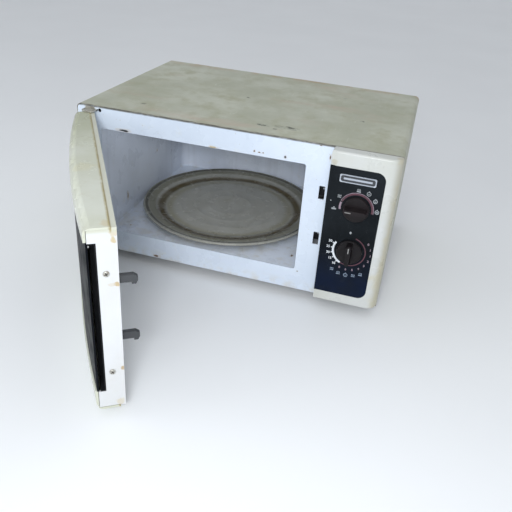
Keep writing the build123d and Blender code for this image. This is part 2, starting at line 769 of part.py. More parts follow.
switch_front = board_front + 22.0
switch_length = 18.0
switch_height = 24.0
plunger_radius = 1.5
plunger_reach = 3.4
switch_places = {"primary": upper_slot_bottom, "secondary": lower_slot_bottom}
for role, slot_bottom in switch_places.items():
    switch_middle = slot_bottom + slot_height / 2 - 2
    with BuildPart() as switch_body:
        with BuildSketch(at_y(switch_front + switch_length)):
            with Locations((slot_middle - 1, switch_middle)):
                Rectangle(latch_board_right - latch_board_left - 6.5, switch_height)
        extrude(amount=switch_length)
        with BuildSketch(at_y(switch_front + 8)):
            with Locations((slot_middle, switch_middle)):
                Circle(plunger_radius + running_clearance)
        extrude(amount=8, mode=Mode.SUBTRACT)
        with BuildSketch(at_y(switch_front + switch_length + 7)):
            with Locations((slot_middle - 1, switch_middle)):
                with GridLocations(1, 9, 1, 2):
                    Rectangle(6, 0.8)
        extrude(amount=7)
    pieces[f"{role}_switch"] = switch_body
    with BuildPart() as switch_plunger:
        with BuildSketch(at_y(switch_front + 8 - switch_travel - 1)):
            with Locations((slot_middle, switch_middle)):
                Circle(plunger_radius)
        extrude(amount=8 - switch_travel - 1 + plunger_reach)
        fillet(switch_plunger.edges().filter_by(GeomType.CIRCLE).sort_by(Axis.Y)[0], 0.6)
    pieces[f"{role}_plunger"] = switch_plunger

# ---- Control panel: frame, fascia, blank badge, timer, power switch and dials -------------------
fascia_right = panel_left + fascia_width
pocket_depth = 1.2
rebate_width = 6.0
rebate_depth = 1.5
shaft_hole_radius = knob_shaft_radius + 2


def panel_outline(inset):
    """Plan of the panel's frame: square on the door's side, well rounded on the outer side."""
    rectangle_between(
        (panel_left + inset, panel_front + inset), (cabinet_width - inset, 0))
    outer_corner = [v for v in vertices() if v.Y < panel_front / 2 and v.X > dial_middle]
    fillet(outer_corner, panel_corner - inset)


with BuildPart() as control_frame:
    with BuildSketch(at_z(panel_bottom)):
        panel_outline(0)
    extrude(amount=cabinet_height - panel_bottom)
    lower_edges = control_frame.edges().group_by(Axis.Z)[0].filter_by(lambda e: e.center().Y < -1)
    upper_edges = control_frame.edges().group_by(Axis.Z)[-1].filter_by(lambda e: e.center().Y < -1)
    fillet(lower_edges, 3)
    fillet(upper_edges, 3)
    with BuildSketch(at_z(panel_bottom + panel_wall)):
        panel_outline(panel_wall)
    extrude(amount=cabinet_height - panel_bottom - 2 * panel_wall, mode=Mode.SUBTRACT)
    with BuildSketch(at_y(panel_front + pocket_depth)):
        rectangle_between((panel_left, fascia_bottom), (fascia_right - fascia_corner, fascia_top))
        rectangle_between(
            (fascia_right - 3 * fascia_corner, fascia_bottom), (fascia_right, fascia_top), fascia_corner)
    extrude(amount=pocket_depth, mode=Mode.SUBTRACT)
    with BuildSketch(at_y(panel_front + rebate_depth)):
        rectangle_between((panel_left, 0), (panel_left + rebate_width, fascia_bottom))
        rectangle_between((panel_left, fascia_top), (panel_left + rebate_width, cabinet_height))
    extrude(amount=rebate_depth, mode=Mode.SUBTRACT)
    with BuildSketch(at_y(panel_front + panel_wall)):
        with Locations((dial_middle, timer_dial_height), (dial_middle, power_dial_height)):
            Circle(shaft_hole_radius)
    extrude(amount=panel_wall, mode=Mode.SUBTRACT)
pieces["control_frame"] = control_frame

fascia_back = panel_front + pocket_depth
with BuildPart() as control_fascia:
    with BuildSketch(at_y(fascia_back)):
        rectangle_between((panel_left, fascia_bottom), (fascia_right - fascia_corner, fascia_top))
        rectangle_between(
            (fascia_right - 3 * fascia_corner, fascia_bottom), (fascia_right, fascia_top), fascia_corner)
        with Locations((dial_middle, timer_dial_height), (dial_middle, power_dial_height)):
            Circle(shaft_hole_radius, mode=Mode.SUBTRACT)
    extrude(amount=fascia_thickness)
pieces["control_fascia"] = control_fascia
fascia_front = fascia_back - fascia_thickness

with BuildPart() as badge:
    with BuildSketch(at_y(fascia_front)):
        rectangle_between(
            (panel_left + 14, fascia_top - 20), (fascia_right - 11, fascia_top - 9), 2)
    extrude(amount=0.8)
pieces["badge"] = badge

works_front = panel_front + panel_wall
timer_width = 52.0
timer_depth = 36.0
timer_height = 56.0
bush_depth = 12.0
shaft_bore_radius = knob_shaft_radius + running_clearance
with BuildPart() as timer_body:
    with BuildSketch(at_y(works_front + timer_depth)):
        with Locations((dial_middle, timer_dial_height)):
            RectangleRounded(timer_width, timer_height, 3)
    extrude(amount=timer_depth)
    with BuildSketch(at_y(works_front + bush_depth)):
        with Locations((dial_middle, timer_dial_height)):
            Circle(shaft_bore_radius)
    extrude(amount=bush_depth, mode=Mode.SUBTRACT)
pieces["timer_body"] = timer_body

bell_radius = 20.0
bell_height = 9.0
with BuildPart() as timer_bell:
    with BuildSketch(at_y(works_front + timer_depth + 3 + bell_height)):
        with Locations((dial_middle, timer_dial_height)):
            Circle(bell_radius)
    extrude(amount=bell_height)
    fillet(timer_bell.edges().group_by(Axis.Y)[-1], bell_height - 1)
    with BuildSketch(at_y(works_front + timer_depth + 3 + bell_height - 1.2)):
        with Locations((dial_middle, timer_dial_height)):
            Circle(bell_radius - bell_height)
    extrude(amount=bell_height - 1.2, mode=Mode.SUBTRACT)
    with BuildSketch(at_y(works_front + timer_depth + 3 + bell_height - 1.2)):
        with Locations((dial_middle, timer_dial_height)):
            Circle(3)
    extrude(amount=3 + bell_height - 1.2)
pieces["timer_bell"] = timer_bell

selector_size = 42.0
selector_depth = 26.0
with BuildPart() as power_selector:
    with BuildSketch(at_y(works_front + selector_depth)):
        with Locations((dial_middle, power_dial_height)):
            RectangleRounded(selector_size, selector_size, 3)
    extrude(amount=selector_depth)
    with BuildSketch(at_y(works_front + bush_depth)):
        with Locations((dial_middle, power_dial_height)):
            Circle(shaft_bore_radius)
    extrude(amount=bush_depth, mode=Mode.SUBTRACT)
pieces["power_selector"] = power_selector

knob_gap = 0.6
knob_back = fascia_front - knob_gap
shaft_end_gap = 1.0
grip_bar_width = 8.0
dial_places = {"timer": (timer_dial_height, 0.0), "power": (power_dial_height, 90.0)}
for role, (dial_height, bar_turn) in dial_places.items():
    with BuildPart() as dial_shaft:
        with BuildSketch(at_y(works_front + bush_depth - shaft_end_gap)):
            with Locations((dial_middle, dial_height)):
                Circle(knob_shaft_radius)
        extrude(amount=works_front + bush_depth - shaft_end_gap - knob_back + 9)
    pieces[f"{role}_shaft"] = dial_shaft
    with BuildPart() as dial_knob:
        with BuildSketch(at_y(knob_back)):
            with Locations((dial_middle, dial_height)):
                Circle(knob_radius)
        extrude(amount=knob_skirt)
        chamfer(dial_knob.edges().group_by(Axis.Y)[0], 1.2)
        with BuildSketch(at_y(knob_back - knob_skirt)):
            with Locations((dial_middle, dial_height)):
                SlotOverall(2 * knob_radius - 3, grip_bar_width, rotation=90 + bar_turn)
        extrude(amount=knob_reach - knob_skirt, taper=5)
        with BuildSketch(at_y(knob_back)):
            with Locations((dial_middle, dial_height)):
                Circle(knob_shaft_radius)
        extrude(amount=9, mode=Mode.SUBTRACT)
    pieces[f"{role}_knob"] = dial_knob

# ---- Hinge brackets on the front plate, each with its pin ---------------------------------------
bracket_sheet = 1.6
bracket_gap = 0.6
bracket_reach = hinge_from_plate + 6
pin_length = 11.0
bracket_left = hinge_from_left - 9
bracket_right = hinge_from_left + 10
bracket_tab = 4.5
upper_bracket_low = door_top + bracket_gap
lower_bracket_top = door_bottom - bracket_gap
bracket_levels = {
    "hinge_upper": (upper_bracket_low, upper_bracket_low + bracket_sheet, upper_bracket_low - pin_length),
    "hinge_lower": (lower_bracket_top - bracket_sheet, lower_bracket_top, lower_bracket_top),
}
for label, (shelf_low, shelf_high, pin_low) in bracket_levels.items():
    upper = label == "hinge_upper"
    with BuildPart() as hinge_bracket:
        with BuildSketch(at_z(shelf_low)):
            rectangle_between((bracket_left, -bracket_reach), (bracket_right, 0))
            nose = [v for v in vertices() if v.Y < -bracket_reach / 2]
            fillet(nose, 6)
        extrude(amount=bracket_sheet)
        with BuildSketch(at_z(pin_low)):
            with Locations((hinge_from_left, -hinge_from_plate)):
                Circle(hinge_pin_radius)
        extrude(amount=pin_length)
        if upper:
            with BuildSketch(at_y(0)):
                rectangle_between((bracket_left, shelf_low), (bracket_right - 5, shelf_low + bracket_tab))
            extrude(amount=1.5)
        else:
            with BuildSketch(at_z(shelf_low)):
                rectangle_between((bracket_left, -1), (bracket_right, 14))
            extrude(amount=bracket_sheet)
            with BuildSketch(at_z(shelf_high)):
                rectangle_between((bracket_left, chassis_sheet + 1), (bracket_right, 14))
            extrude(amount=-shelf_high)
    pieces[label] = hinge_bracket


# ---- Door, drawn shut ---------------------------------------------------------------------------
def door_outline(inset, right_inset=None):
    """Plan of the door from the shell's back to its bowed front, drawn inwards by an inset."""
    right = door_right - (inset if right_inset is None else right_inset)
    left = door_left + inset
    left_front = (left, door_back - door_hinge_thickness + inset)
    crown = (door_middle + 2, door_back - door_crown_thickness + inset)
    right_front = (right, door_back - door_free_thickness + inset)
    with BuildSketch() as outline:
        with BuildLine():
            ThreePointArc(left_front, crown, right_front)
            Polyline(right_front, (right, shell_back), (left, shell_back), left_front)
        make_face()
    return outline.sketch


sleeve_height = 13.0
sleeve_wall = 1.5
pin_bore_radius = hinge_pin_radius + running_clearance
shell_roll = 8.0
shell_nose = 9.0
shell_plan = door_outline(0)
hollow_plan = door_outline(door_wall)
with BuildPart() as door_shell:
    with BuildSketch(at_z(door_bottom)):
        add(shell_plan)
        hinge_corner = [v for v in vertices() if v.X < door_middle and v.Y < shell_back - 5]
        fillet(hinge_corner, shell_nose)
    extrude(amount=door_top - door_bottom)
    rolled = [
        e for e in door_shell.edges()
        if e.center().Y < door_back - door_crown_thickness + 6
        and not door_bottom + door_wall < e.center().Z < door_top - door_wall]
    fillet(rolled, shell_roll)
    with BuildSketch(at_z(door_bottom + door_wall)):
        add(hollow_plan)
    extrude(amount=door_top - door_bottom - 2 * door_wall, mode=Mode.SUBTRACT)
    with BuildSketch(at_y(door_back - end_plate_width)):
        rectangle_between(
            (door_left + 16, window_bottom), (door_right + 10, window_top), mode=Mode.ADD)
    extrude(amount=30, mode=Mode.SUBTRACT)
    with BuildSketch(at_y(shell_back)):
        rectangle_between(
            (door_right - door_wall, door_bottom + door_wall), (door_right, door_top - door_wall))
    extrude(amount=30, mode=Mode.SUBTRACT)
    for sleeve_bottom in (door_bottom, door_top - sleeve_height - 0.5):
        with BuildSketch(at_z(sleeve_bottom)):
            with Locations((hinge_from_left, -hinge_from_plate)):
                Circle(pin_bore_radius + sleeve_wall + sheet_clearance)
        extrude(amount=sleeve_height + door_wall, mode=Mode.SUBTRACT)
door_pieces["door_shell"] = door_shell

window_left = door_left + 16 + sheet_clearance
window_inset = 1.5
window_face = door_outline(window_inset, right_inset=1.0)
window_hollow = door_outline(window_inset + window_thickness, right_inset=-10.0)
with BuildPart() as door_window:
    with BuildSketch(at_z(window_bottom + sheet_clearance)):
        add(window_face)
        add(window_hollow, mode=Mode.SUBTRACT)
        rectangle_between((door_left - 5, -60), (window_left, 5), mode=Mode.SUBTRACT)
        rectangle_between(
            (door_left, door_back - door_hinge_thickness + inner_frame_thickness), (door_right, 5),
            mode=Mode.SUBTRACT)
    extrude(amount=window_top - window_bottom - 2 * sheet_clearance)
door_pieces["door_window"] = door_window

# Inner frame: a ring around the choke, the hinge sleeves and the C-shaped end plate.
choke_left = door_left + 14
choke_right = door_right - 20
choke_bottom = door_bottom + 13
choke_top = door_top - 10
end_plate_thickness = door_wall
hook_opening_left = slot_middle - hook_width / 2 - 1
hook_opening_right = slot_middle + hook_width / 2 + 1
lower_hook_bottom = lower_slot_bottom + 3.5
upper_hook_bottom = upper_slot_bottom + 3.5
frame_bottom = door_bottom + door_wall
frame_top = door_top - 0.5
with BuildPart() as door_inner_frame:
    with BuildSketch(at_y(door_back)):
        rectangle_between((door_left, frame_bottom), (door_right, frame_top))
        rectangle_between((choke_left, choke_bottom), (choke_right, choke_top), 6, mode=Mode.SUBTRACT)
        for hook_bottom in (lower_hook_bottom, upper_hook_bottom):
            rectangle_between(
                (hook_opening_left, hook_bottom - 1),
                (hook_opening_right, hook_bottom + hook_height + hook_travel + 1), mode=Mode.SUBTRACT)
    extrude(amount=inner_frame_thickness - 0.2)
    hinge_side = door_inner_frame.edges().filter_by(Axis.Z).filter_by(
        lambda e: e.center().X < door_left + 0.1 and e.center().Y > door_back - 0.1)
    fillet(hinge_side, inner_frame_thickness - 0.6)
    for sleeve_bottom in (frame_bottom, frame_top - sleeve_height):
        with BuildSketch(at_z(sleeve_bottom)):
            with Locations((hinge_from_left, -hinge_from_plate)):
                Circle(pin_bore_radius + sleeve_wall)
        extrude(amount=sleeve_height)
    with BuildSketch(at_z(frame_bottom)):
        with Locations((hinge_from_left, -hinge_from_plate)):
            Circle(pin_bore_radius)
    extrude(amount=sleeve_height, mode=Mode.SUBTRACT)
    with BuildSketch(at_z(frame_top - sleeve_height)):
        with Locations((hinge_from_left, -hinge_from_plate)):
            Circle(pin_bore_radius)
    extrude(amount=sleeve_height, mode=Mode.SUBTRACT)
    with BuildSketch(at_x(door_right - end_plate_thickness)):
        rectangle_between(
            (door_back - door_free_thickness + 3, frame_bottom + 1), (door_back - 1, frame_top - 2.2))
        rectangle_between(
            (door_back - 60, window_bottom), (door_back - end_plate_width, window_top),
            mode=Mode.SUBTRACT)
    extrude(amount=end_plate_thickness)
door_pieces["door_inner_frame"] = door_inner_frame

with BuildPart() as choke_cover:
    with BuildSketch(at_y(door_back - 0.3)):
        rectangle_between(
            (choke_left + 0.2, choke_bottom + 0.2), (choke_right - 0.2, choke_top - 0.2), 5.8)
        rectangle_between(
            (choke_left + 30, choke_bottom + 26), (choke_right - 30, choke_top - 26), 6,
            mode=Mode.SUBTRACT)
    extrude(amount=1.5)
door_pieces["choke_cover"] = choke_cover

screen_low = (choke_left + 24, choke_bottom + 20)
screen_high = (choke_right - 24, choke_top - 20)
hole_columns = 20
hole_rows = 12
hole_pitch = 12.0
with BuildPart() as door_screen:
    with BuildSketch(at_y(door_back - 2.2)):
        rectangle_between(screen_low, screen_high, 3)
        with Locations(((screen_low[0] + screen_high[0]) / 2, (screen_low[1] + screen_high[1]) / 2)):
            with GridLocations(hole_pitch, hole_pitch, hole_columns, hole_rows):
                Circle(3.6, mode=Mode.SUBTRACT)
    extrude(amount=0.6)
door_pieces["door_screen"] = door_screen

choke_channel = 13.0
with BuildPart() as choke_channel_frame:
    with BuildSketch(at_y(door_back - 3.2)):
        rectangle_between((choke_left + 1, choke_bottom + 1), (choke_right - 1, choke_top - 1), 5)
        rectangle_between(
            (choke_left + 34, choke_bottom + 30), (choke_right - 34, choke_top - 30), 6,
            mode=Mode.SUBTRACT)
    extrude(amount=choke_channel)
    with BuildSketch(at_y(door_back - 3.2)):
        rectangle_between((choke_left + 2, choke_bottom + 2), (choke_right - 2, choke_top - 2), 4)
        rectangle_between(
            (choke_left + 25, choke_bottom + 21), (choke_right - 25, choke_top - 21), 6,
            mode=Mode.SUBTRACT)
    extrude(amount=choke_channel - 1, mode=Mode.SUBTRACT)
door_pieces["door_choke"] = choke_channel_frame

grip_front = door_back - door_free_thickness + window_inset + window_thickness + 0.8
grip_back = door_back - end_plate_width
grip_wall = 1.2
with BuildPart() as grip_liner:
    with BuildSketch(at_z(window_bottom + 0.4)):
        rectangle_between(
            (door_right - grip_depth, grip_front), (door_right - 0.4, grip_back - 0.2))
        rectangle_between(
            (door_right - grip_depth + grip_wall, grip_front),
            (door_right, grip_back - 0.2 - grip_wall), mode=Mode.SUBTRACT)
    extrude(amount=window_top - window_bottom - 0.8)
    for cap_bottom in (window_bottom + 0.4, window_top - 0.4 - grip_wall):
        with BuildSketch(at_z(cap_bottom)):
            rectangle_between(
                (door_right - grip_depth, grip_front), (door_right - 0.4, grip_back - 0.2))
        extrude(amount=grip_wall)
door_pieces["grip_liner"] = grip_liner

door_screw_heights = (48.7, 170.0)
with BuildPart() as door_screws:
    with BuildSketch(at_x(door_right)):
        for screw_height in door_screw_heights:
            with Locations((door_back - 12, screw_height)):
                Circle(3.2)
    extrude(amount=1.6)
    fillet(door_screws.edges().group_by(Axis.X)[-1], 1.0)
door_pieces["door_screws"] = door_screws

# ---- Latch hooks on one sliding bar, and the spring that pulls the bar down ---------------------
bar_back = shell_back - 1.0
bar_thickness = 4.0
bar_bottom = lower_hook_bottom - 4
bar_top = upper_hook_bottom + hook_height + 4
nose_length = 6.0
nose_drop = 2.4
with BuildPart() as latch_hooks:
    with BuildSketch(at_y(bar_back)):
        rectangle_between(
            (slot_middle - hook_width / 2, bar_bottom), (slot_middle + hook_width / 2, bar_top), 1)
    extrude(amount=bar_thickness)
    for hook_bottom in (lower_hook_bottom, upper_hook_bottom):
        with BuildSketch(at_x(slot_middle - hook_width / 2)):
            with BuildLine():
                Polyline(
                    (bar_back, hook_bottom + nose_drop), (hook_reach - nose_length, hook_bottom + nose_drop),
                    (hook_reach - nose_length, hook_bottom), (hook_reach - 2, hook_bottom),
                    (hook_reach, hook_bottom + 4), (hook_reach, hook_bottom + hook_height - 3),
                    (hook_reach - 4, hook_bottom + hook_height),
                    (bar_back, hook_bottom + hook_height), (bar_back, hook_bottom + nose_drop))
            make_face()
        extrude(amount=hook_width)
door_pieces["latch_hooks"] = latch_hooks

spring_radius = 2.2
spring_wire = 0.4
spring_length = 22.0
spring_pitch = 2.2
spring_post_gap = 0.5
with BuildPart() as latch_spring:
    spring_foot = (slot_middle, bar_back - bar_thickness / 2, bar_bottom - spring_post_gap - spring_length)
    with BuildLine(Plane(spring_foot)):
        coil = Helix(spring_pitch, spring_length - 2 * spring_wire, spring_radius, center=(0, 0, spring_wire))
    with BuildSketch(Plane(origin=coil @ 0, z_dir=coil % 0)):
        Circle(spring_wire)
    sweep()
door_pieces["latch_spring"] = latch_spring

# ---- Put the set together: swing the door open and stand everything on the origin ---------------
hinge_axis = Axis((hinge_from_left, -hinge_from_plate, 0), (0, 0, 1))
finished = {name: piece.part for name, piece in pieces.items()}
finished["glass_tray"] = tray_part
for name, piece in door_pieces.items():
    finished[name] = piece.part.rotate(hinge_axis, -door_open_angle)

boxes = [shape.bounding_box() for shape in finished.values()]
middle_across = (min(box.min.X for box in boxes) + max(box.max.X for box in boxes)) / 2
middle_depth = (min(box.min.Y for box in boxes) + max(box.max.Y for box in boxes)) / 2
origin_shift = Pos(-middle_across, -middle_depth, foot_height)
os.makedirs("parts", exist_ok=True)
for name, shape in finished.items():
    placed = origin_shift * shape
    placed.label = name
    export_step(placed, f"parts/{name}.step")
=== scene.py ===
"""Looks of the countertop microwave oven: worn enamel and plastics, printed dials and a pressed glass tray."""
import json
import math

import bpy
import bmesh
from mathutils import Matrix, Vector


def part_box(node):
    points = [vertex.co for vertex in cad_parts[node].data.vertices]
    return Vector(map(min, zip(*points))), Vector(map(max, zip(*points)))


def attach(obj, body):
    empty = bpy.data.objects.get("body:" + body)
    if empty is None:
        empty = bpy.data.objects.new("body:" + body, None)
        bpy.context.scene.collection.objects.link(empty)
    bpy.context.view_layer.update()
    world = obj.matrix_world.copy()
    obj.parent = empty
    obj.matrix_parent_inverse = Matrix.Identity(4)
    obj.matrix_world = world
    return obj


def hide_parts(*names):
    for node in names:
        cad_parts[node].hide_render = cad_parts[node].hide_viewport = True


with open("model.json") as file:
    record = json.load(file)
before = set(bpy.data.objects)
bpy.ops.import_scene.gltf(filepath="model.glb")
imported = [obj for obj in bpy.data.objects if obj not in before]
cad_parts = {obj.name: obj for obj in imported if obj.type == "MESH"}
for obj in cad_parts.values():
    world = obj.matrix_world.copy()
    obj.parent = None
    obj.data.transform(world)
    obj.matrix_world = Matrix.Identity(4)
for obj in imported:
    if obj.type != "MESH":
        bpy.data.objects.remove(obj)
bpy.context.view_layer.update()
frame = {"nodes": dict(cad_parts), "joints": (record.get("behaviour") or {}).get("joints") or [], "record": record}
scene = bpy.context.scene

MM = 0.001
ACROSS = Vector((1, 0, 0))
BACK = Vector((0, 1, 0))
UP = Vector((0, 0, 1))

datum, cover_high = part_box("outer_cover")
fascia_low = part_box("control_fascia")[0]
door_joint = next(j for j in frame["joints"] if j["name"] == "door_hinge")
hinge_point = Vector(door_joint["pos_m"])
door_angle = math.radians(-door_joint["range_deg"][0])
door_along = Vector((math.cos(door_angle), -math.sin(door_angle), 0))
door_inward = Vector((math.sin(door_angle), math.cos(door_angle), 0))


def cab(across, depth, height):
    """A point from the cover's front left lower corner, in millimetres."""
    return datum + Vector((across, depth, height)) * MM


def door(along, inward, height):
    """A point of the open door: along it from the hinge, towards the cavity, and up from the cover's edge."""
    point = hinge_point + (door_along * along + door_inward * inward) * MM
    point.z = datum.z + height * MM
    return point


# ---- Node materials -----------------------------------------------------------------------------
class Paint:
    """A Principled material with short ways to add procedural detail in the shared frame's metres."""

    def __init__(self, name, **sockets):
        self.mat = bpy.data.materials.new(name)
        self.mat.use_nodes = True
        self.nodes = self.mat.node_tree.nodes
        self.links = self.mat.node_tree.links
        self.bsdf = self.nodes["Principled BSDF"]
        self.pos = self.nodes.new("ShaderNodeTexCoord").outputs["Object"]
        self.fix(**sockets)

    def fix(self, **sockets):
        """Sets numbers on the shader's own sockets."""
        for key, value in sockets.items():
            self.bsdf.inputs[key.replace("_", " ")].default_value = value

    def add(self, kind, **props):
        node = self.nodes.new(kind)
        for key, value in props.items():
            setattr(node, key, value)
        return node

    def feed(self, socket, value):
        """Links a socket, or sets its value."""
        if isinstance(value, bpy.types.NodeSocket):
            self.links.new(value, socket)
        elif isinstance(value, (tuple, list)) and len(value) == 3 and socket.type == "RGBA":
            socket.default_value = (*value, 1.0)
        else:
            socket.default_value = value

    def maths(self, operation, a, b=0.0, c=0.0):
        node = self.add("ShaderNodeMath", operation=operation)
        for socket, value in zip(node.inputs, (a, b, c)):
            self.feed(socket, value)
        return node.outputs[0]

    def vector(self, operation, first, second=None):
        """The outputs of vector maths on a socket and a fixed vector."""
        node = self.add("ShaderNodeVectorMath", operation=operation)
        self.links.new(first, node.inputs[0])
        if second is not None:
            node.inputs[1].default_value = second
        return node.outputs

    def axis(self, index):
        node = self.add("ShaderNodeSeparateXYZ")
        self.links.new(self.pos, node.inputs[0])
        return node.outputs[index]

    def past(self, start, direction):
        """Distance past a point in a direction, in metres."""
        return self.vector("DOT_PRODUCT", self.vector("SUBTRACT", self.pos, start)[0], direction)["Value"]

    def away(self, centre, stretch):
        """Distance from a point, in metres, with each axis multiplied by its own number first."""
        offset = self.vector("SUBTRACT", self.pos, centre)[0]
        return self.vector("LENGTH", self.vector("MULTIPLY", offset, stretch)[0])["Value"]

    def noise(self, scale, detail=3.0, rough=0.55, stretch=(1, 1, 1), offset=(0, 0, 0), turn=(0, 0, 0)):
        place = self.add("ShaderNodeMapping")
        self.links.new(self.pos, place.inputs["Vector"])
        place.inputs["Scale"].default_value = stretch
        place.inputs["Location"].default_value = offset
        place.inputs["Rotation"].default_value = turn
        node = self.add("ShaderNodeTexNoise")
        self.links.new(place.outputs["Vector"], node.inputs["Vector"])
        node.inputs["Scale"].default_value = scale
        node.inputs["Detail"].default_value = detail
        node.inputs["Roughness"].default_value = rough
        return node.outputs["Fac"]

    def band(self, value, low, high, out_low=0.0, out_high=1.0):
        """A smooth step from one number to another as a value goes from low to high."""
        node = self.add("ShaderNodeMapRange", interpolation_type="SMOOTHSTEP")
        self.feed(node.inputs["Value"], value)
        for key, number in (("From Min", low), ("From Max", high), ("To Min", out_low), ("To Max", out_high)):
            node.inputs[key].default_value = number
        return node.outputs["Result"]

    def mix(self, fac, a, b):
        node = self.add("ShaderNodeMix", data_type="RGBA")
        self.feed(node.inputs[0], fac)
        self.feed(node.inputs[6], a)
        self.feed(node.inputs[7], b)
        return node.outputs[2]

    def over(self, tone, tint, *masks):
        """A tone with a tint laid over it as strongly as all the masks multiplied together."""
        amount = masks[0]
        for mask in masks[1:]:
            amount = self.maths("MULTIPLY", amount, mask)
        return self.mix(amount, tone, tint)

    def spot(self, centre, radius_mm, ragged=0.6, stretch=(1, 1, 1)):
        """A ragged round mask about a point, 1 inside."""
        radius = radius_mm * MM
        uneven = self.maths("SUBTRACT", self.noise(0.9 / radius, 3), 0.5)
        wobble = self.maths("MULTIPLY", uneven, radius * ragged * 2)
        return self.band(self.maths("ADD", self.away(centre, stretch), wobble), radius * 0.55, radius, 1.0, 0.0)

    def ring(self, centre, inner, outer, soft):
        """A slightly wavy flat ring about a centre, in millimetres, with soft edges, as a mask."""
        wave = self.maths("MULTIPLY", self.noise(22, 2), 0.003)
        radius = self.maths("ADD", self.away(centre, (1, 1, 0)), wave)
        rise = self.band(radius, (inner - soft) * MM, (inner + soft) * MM)
        fall = self.band(radius, (outer - soft) * MM, (outer + soft) * MM, 1.0, 0.0)
        patchy = self.band(self.noise(36, 4, offset=(3, 3, 3)), 0.2, 0.6, 0.75, 1.0)
        return self.maths("MULTIPLY", self.maths("MULTIPLY", rise, fall), patchy)

    def scratches(self, scale, turn, width, offset=(0, 0, 0)):
        """Thin broken lines, as a mask."""
        streak = self.noise(scale, 2, 0.5, stretch=(1, 0.06, 1), turn=turn, offset=offset)
        line = self.maths("ABSOLUTE", self.maths("SUBTRACT", streak, 0.5))
        broken = self.band(self.noise(scale * 0.25, 2, offset=(3, 1, 7)), 0.56, 0.66)
        return self.maths("MULTIPLY", self.band(line, 0.0, width, 1.0, 0.0), broken)

    def most(self, masks):
        total = masks[0]
        for mask in masks[1:]:
            total = self.maths("MAXIMUM", total, mask)
        return total

    def bump(self, height, distance_mm, strength=1.0):
        """Adds a bump on top of the ones already there."""
        node = self.add("ShaderNodeBump")
        node.inputs["Strength"].default_value = strength
        node.inputs["Distance"].default_value = distance_mm * MM
        self.feed(node.inputs["Height"], height)
        normal = self.bsdf.inputs["Normal"]
        if normal.is_linked:
            self.links.new(normal.links[0].from_socket, node.inputs["Normal"])
        self.links.new(node.outputs["Normal"], normal)

    def colour(self, value):
        self.feed(self.bsdf.inputs["Base Color"], value)

    def rough(self, value):
        self.feed(self.bsdf.inputs["Roughness"], value)


# The cover's top and right side, in millimetres from its corner, and the marks worn in its paint.
COVER_TOP = 227
COVER_SIDE = 459
COVER_WEAR = (  # place, radius in millimetres, raggedness and stretch
    ((262, 33, COVER_TOP), 9, 0.8, (0.8, 1.6, 1)), ((298, 37, COVER_TOP), 13, 0.9, (0.6, 1.8, 1)),
    ((83, 40, COVER_TOP), 4.5, 0.7, (1, 1, 1)), ((283, 24, COVER_TOP), 4, 0.8, (1, 1, 1)),
    ((388, 118, COVER_TOP), 4, 0.8, (1, 1, 1)), ((205, 150, COVER_TOP), 3, 0.8, (1, 1, 1)),
    ((345, 226, COVER_TOP), 3.5, 0.9, (1, 1, 1)), ((COVER_SIDE, 190, 120), 6, 0.8, (1, 1, 1)),
    ((0, 120, 90), 7, 0.9, (1, 1, 1)), ((0, 230, 160), 4, 0.8, (1, 1, 1)))


def cover_paint():
    """Cream-grey stove paint, yellowed, stained and scratched, with a painted shadow line along its front edge."""
    p = Paint("cover_paint")
    tone = p.mix(p.band(p.noise(9, 5, 0.6), 0.35, 0.68), (0.400, 0.410, 0.315), (0.510, 0.520, 0.430))
    tone = p.over(tone, (0.370, 0.370, 0.255), p.band(p.noise(34, 5, 0.65, offset=(4, 2, 0)), 0.42, 0.75))
    stain = p.noise(16, 4, 0.6, stretch=(0.5, 1.4, 1), offset=(9, 0, 3))
    tone = p.over(tone, (0.47, 0.39, 0.30), p.band(stain, 0.55, 0.82))
    tone = p.over(tone, (0.30, 0.30, 0.24), p.band(p.noise(420, 3, 0.7), 0.60, 0.78), 0.45)
    back_edge = p.band(p.axis(1), cover_high.y - 0.022, cover_high.y, 0.0, 0.75)
    tone = p.over(tone, (0.42, 0.30, 0.19), back_edge, p.band(p.noise(48, 3), 0.40, 0.62))
    low_edge = p.band(p.axis(2), datum.z, datum.z + 0.045, 0.55, 0.0)
    tone = p.over(tone, (0.33, 0.30, 0.22), low_edge, p.band(p.noise(30, 4), 0.3, 0.7))
    # Painted shadow: a dark line along the cover's front edge, where the gap in front of it is in shade.
    front_seam_shadow = p.band(p.axis(1), datum.y + 0.0002, datum.y + 0.0014, 0.9, 0.0)
    tone = p.over(tone, (0.085, 0.080, 0.060), front_seam_shadow)
    front_edge = p.band(p.axis(1), datum.y, datum.y + 0.010, 0.7, 0.0)
    tone = p.over(tone, (0.36, 0.35, 0.27), front_edge, p.band(p.noise(70, 3), 0.35, 0.6))
    marks = [p.spot(cab(*place), radius, ragged, stretch) for place, radius, ragged, stretch in COVER_WEAR]
    streaky = p.band(p.noise(260, 3, 0.6, stretch=(0.5, 2.2, 1)), 0.44, 0.54)
    worn = p.maths("MULTIPLY", p.most(marks), streaky)
    tone = p.over(tone, (0.075, 0.080, 0.055), worn)
    rubs = [p.scratches(130, (0, 0, 0.5), 0.006), p.scratches(95, (0, 0, 1.7), 0.005, (5, 5, 5))]
    p.colour(p.over(tone, (0.66, 0.67, 0.60), p.most(rubs), 0.45))
    p.rough(p.band(p.noise(22, 4), 0.3, 0.7, 0.34, 0.55))
    p.bump(p.noise(900, 2), 0.05, 0.5)
    p.bump(p.maths("SUBTRACT", 1.0, worn), 0.08, 0.7)
    return p.mat


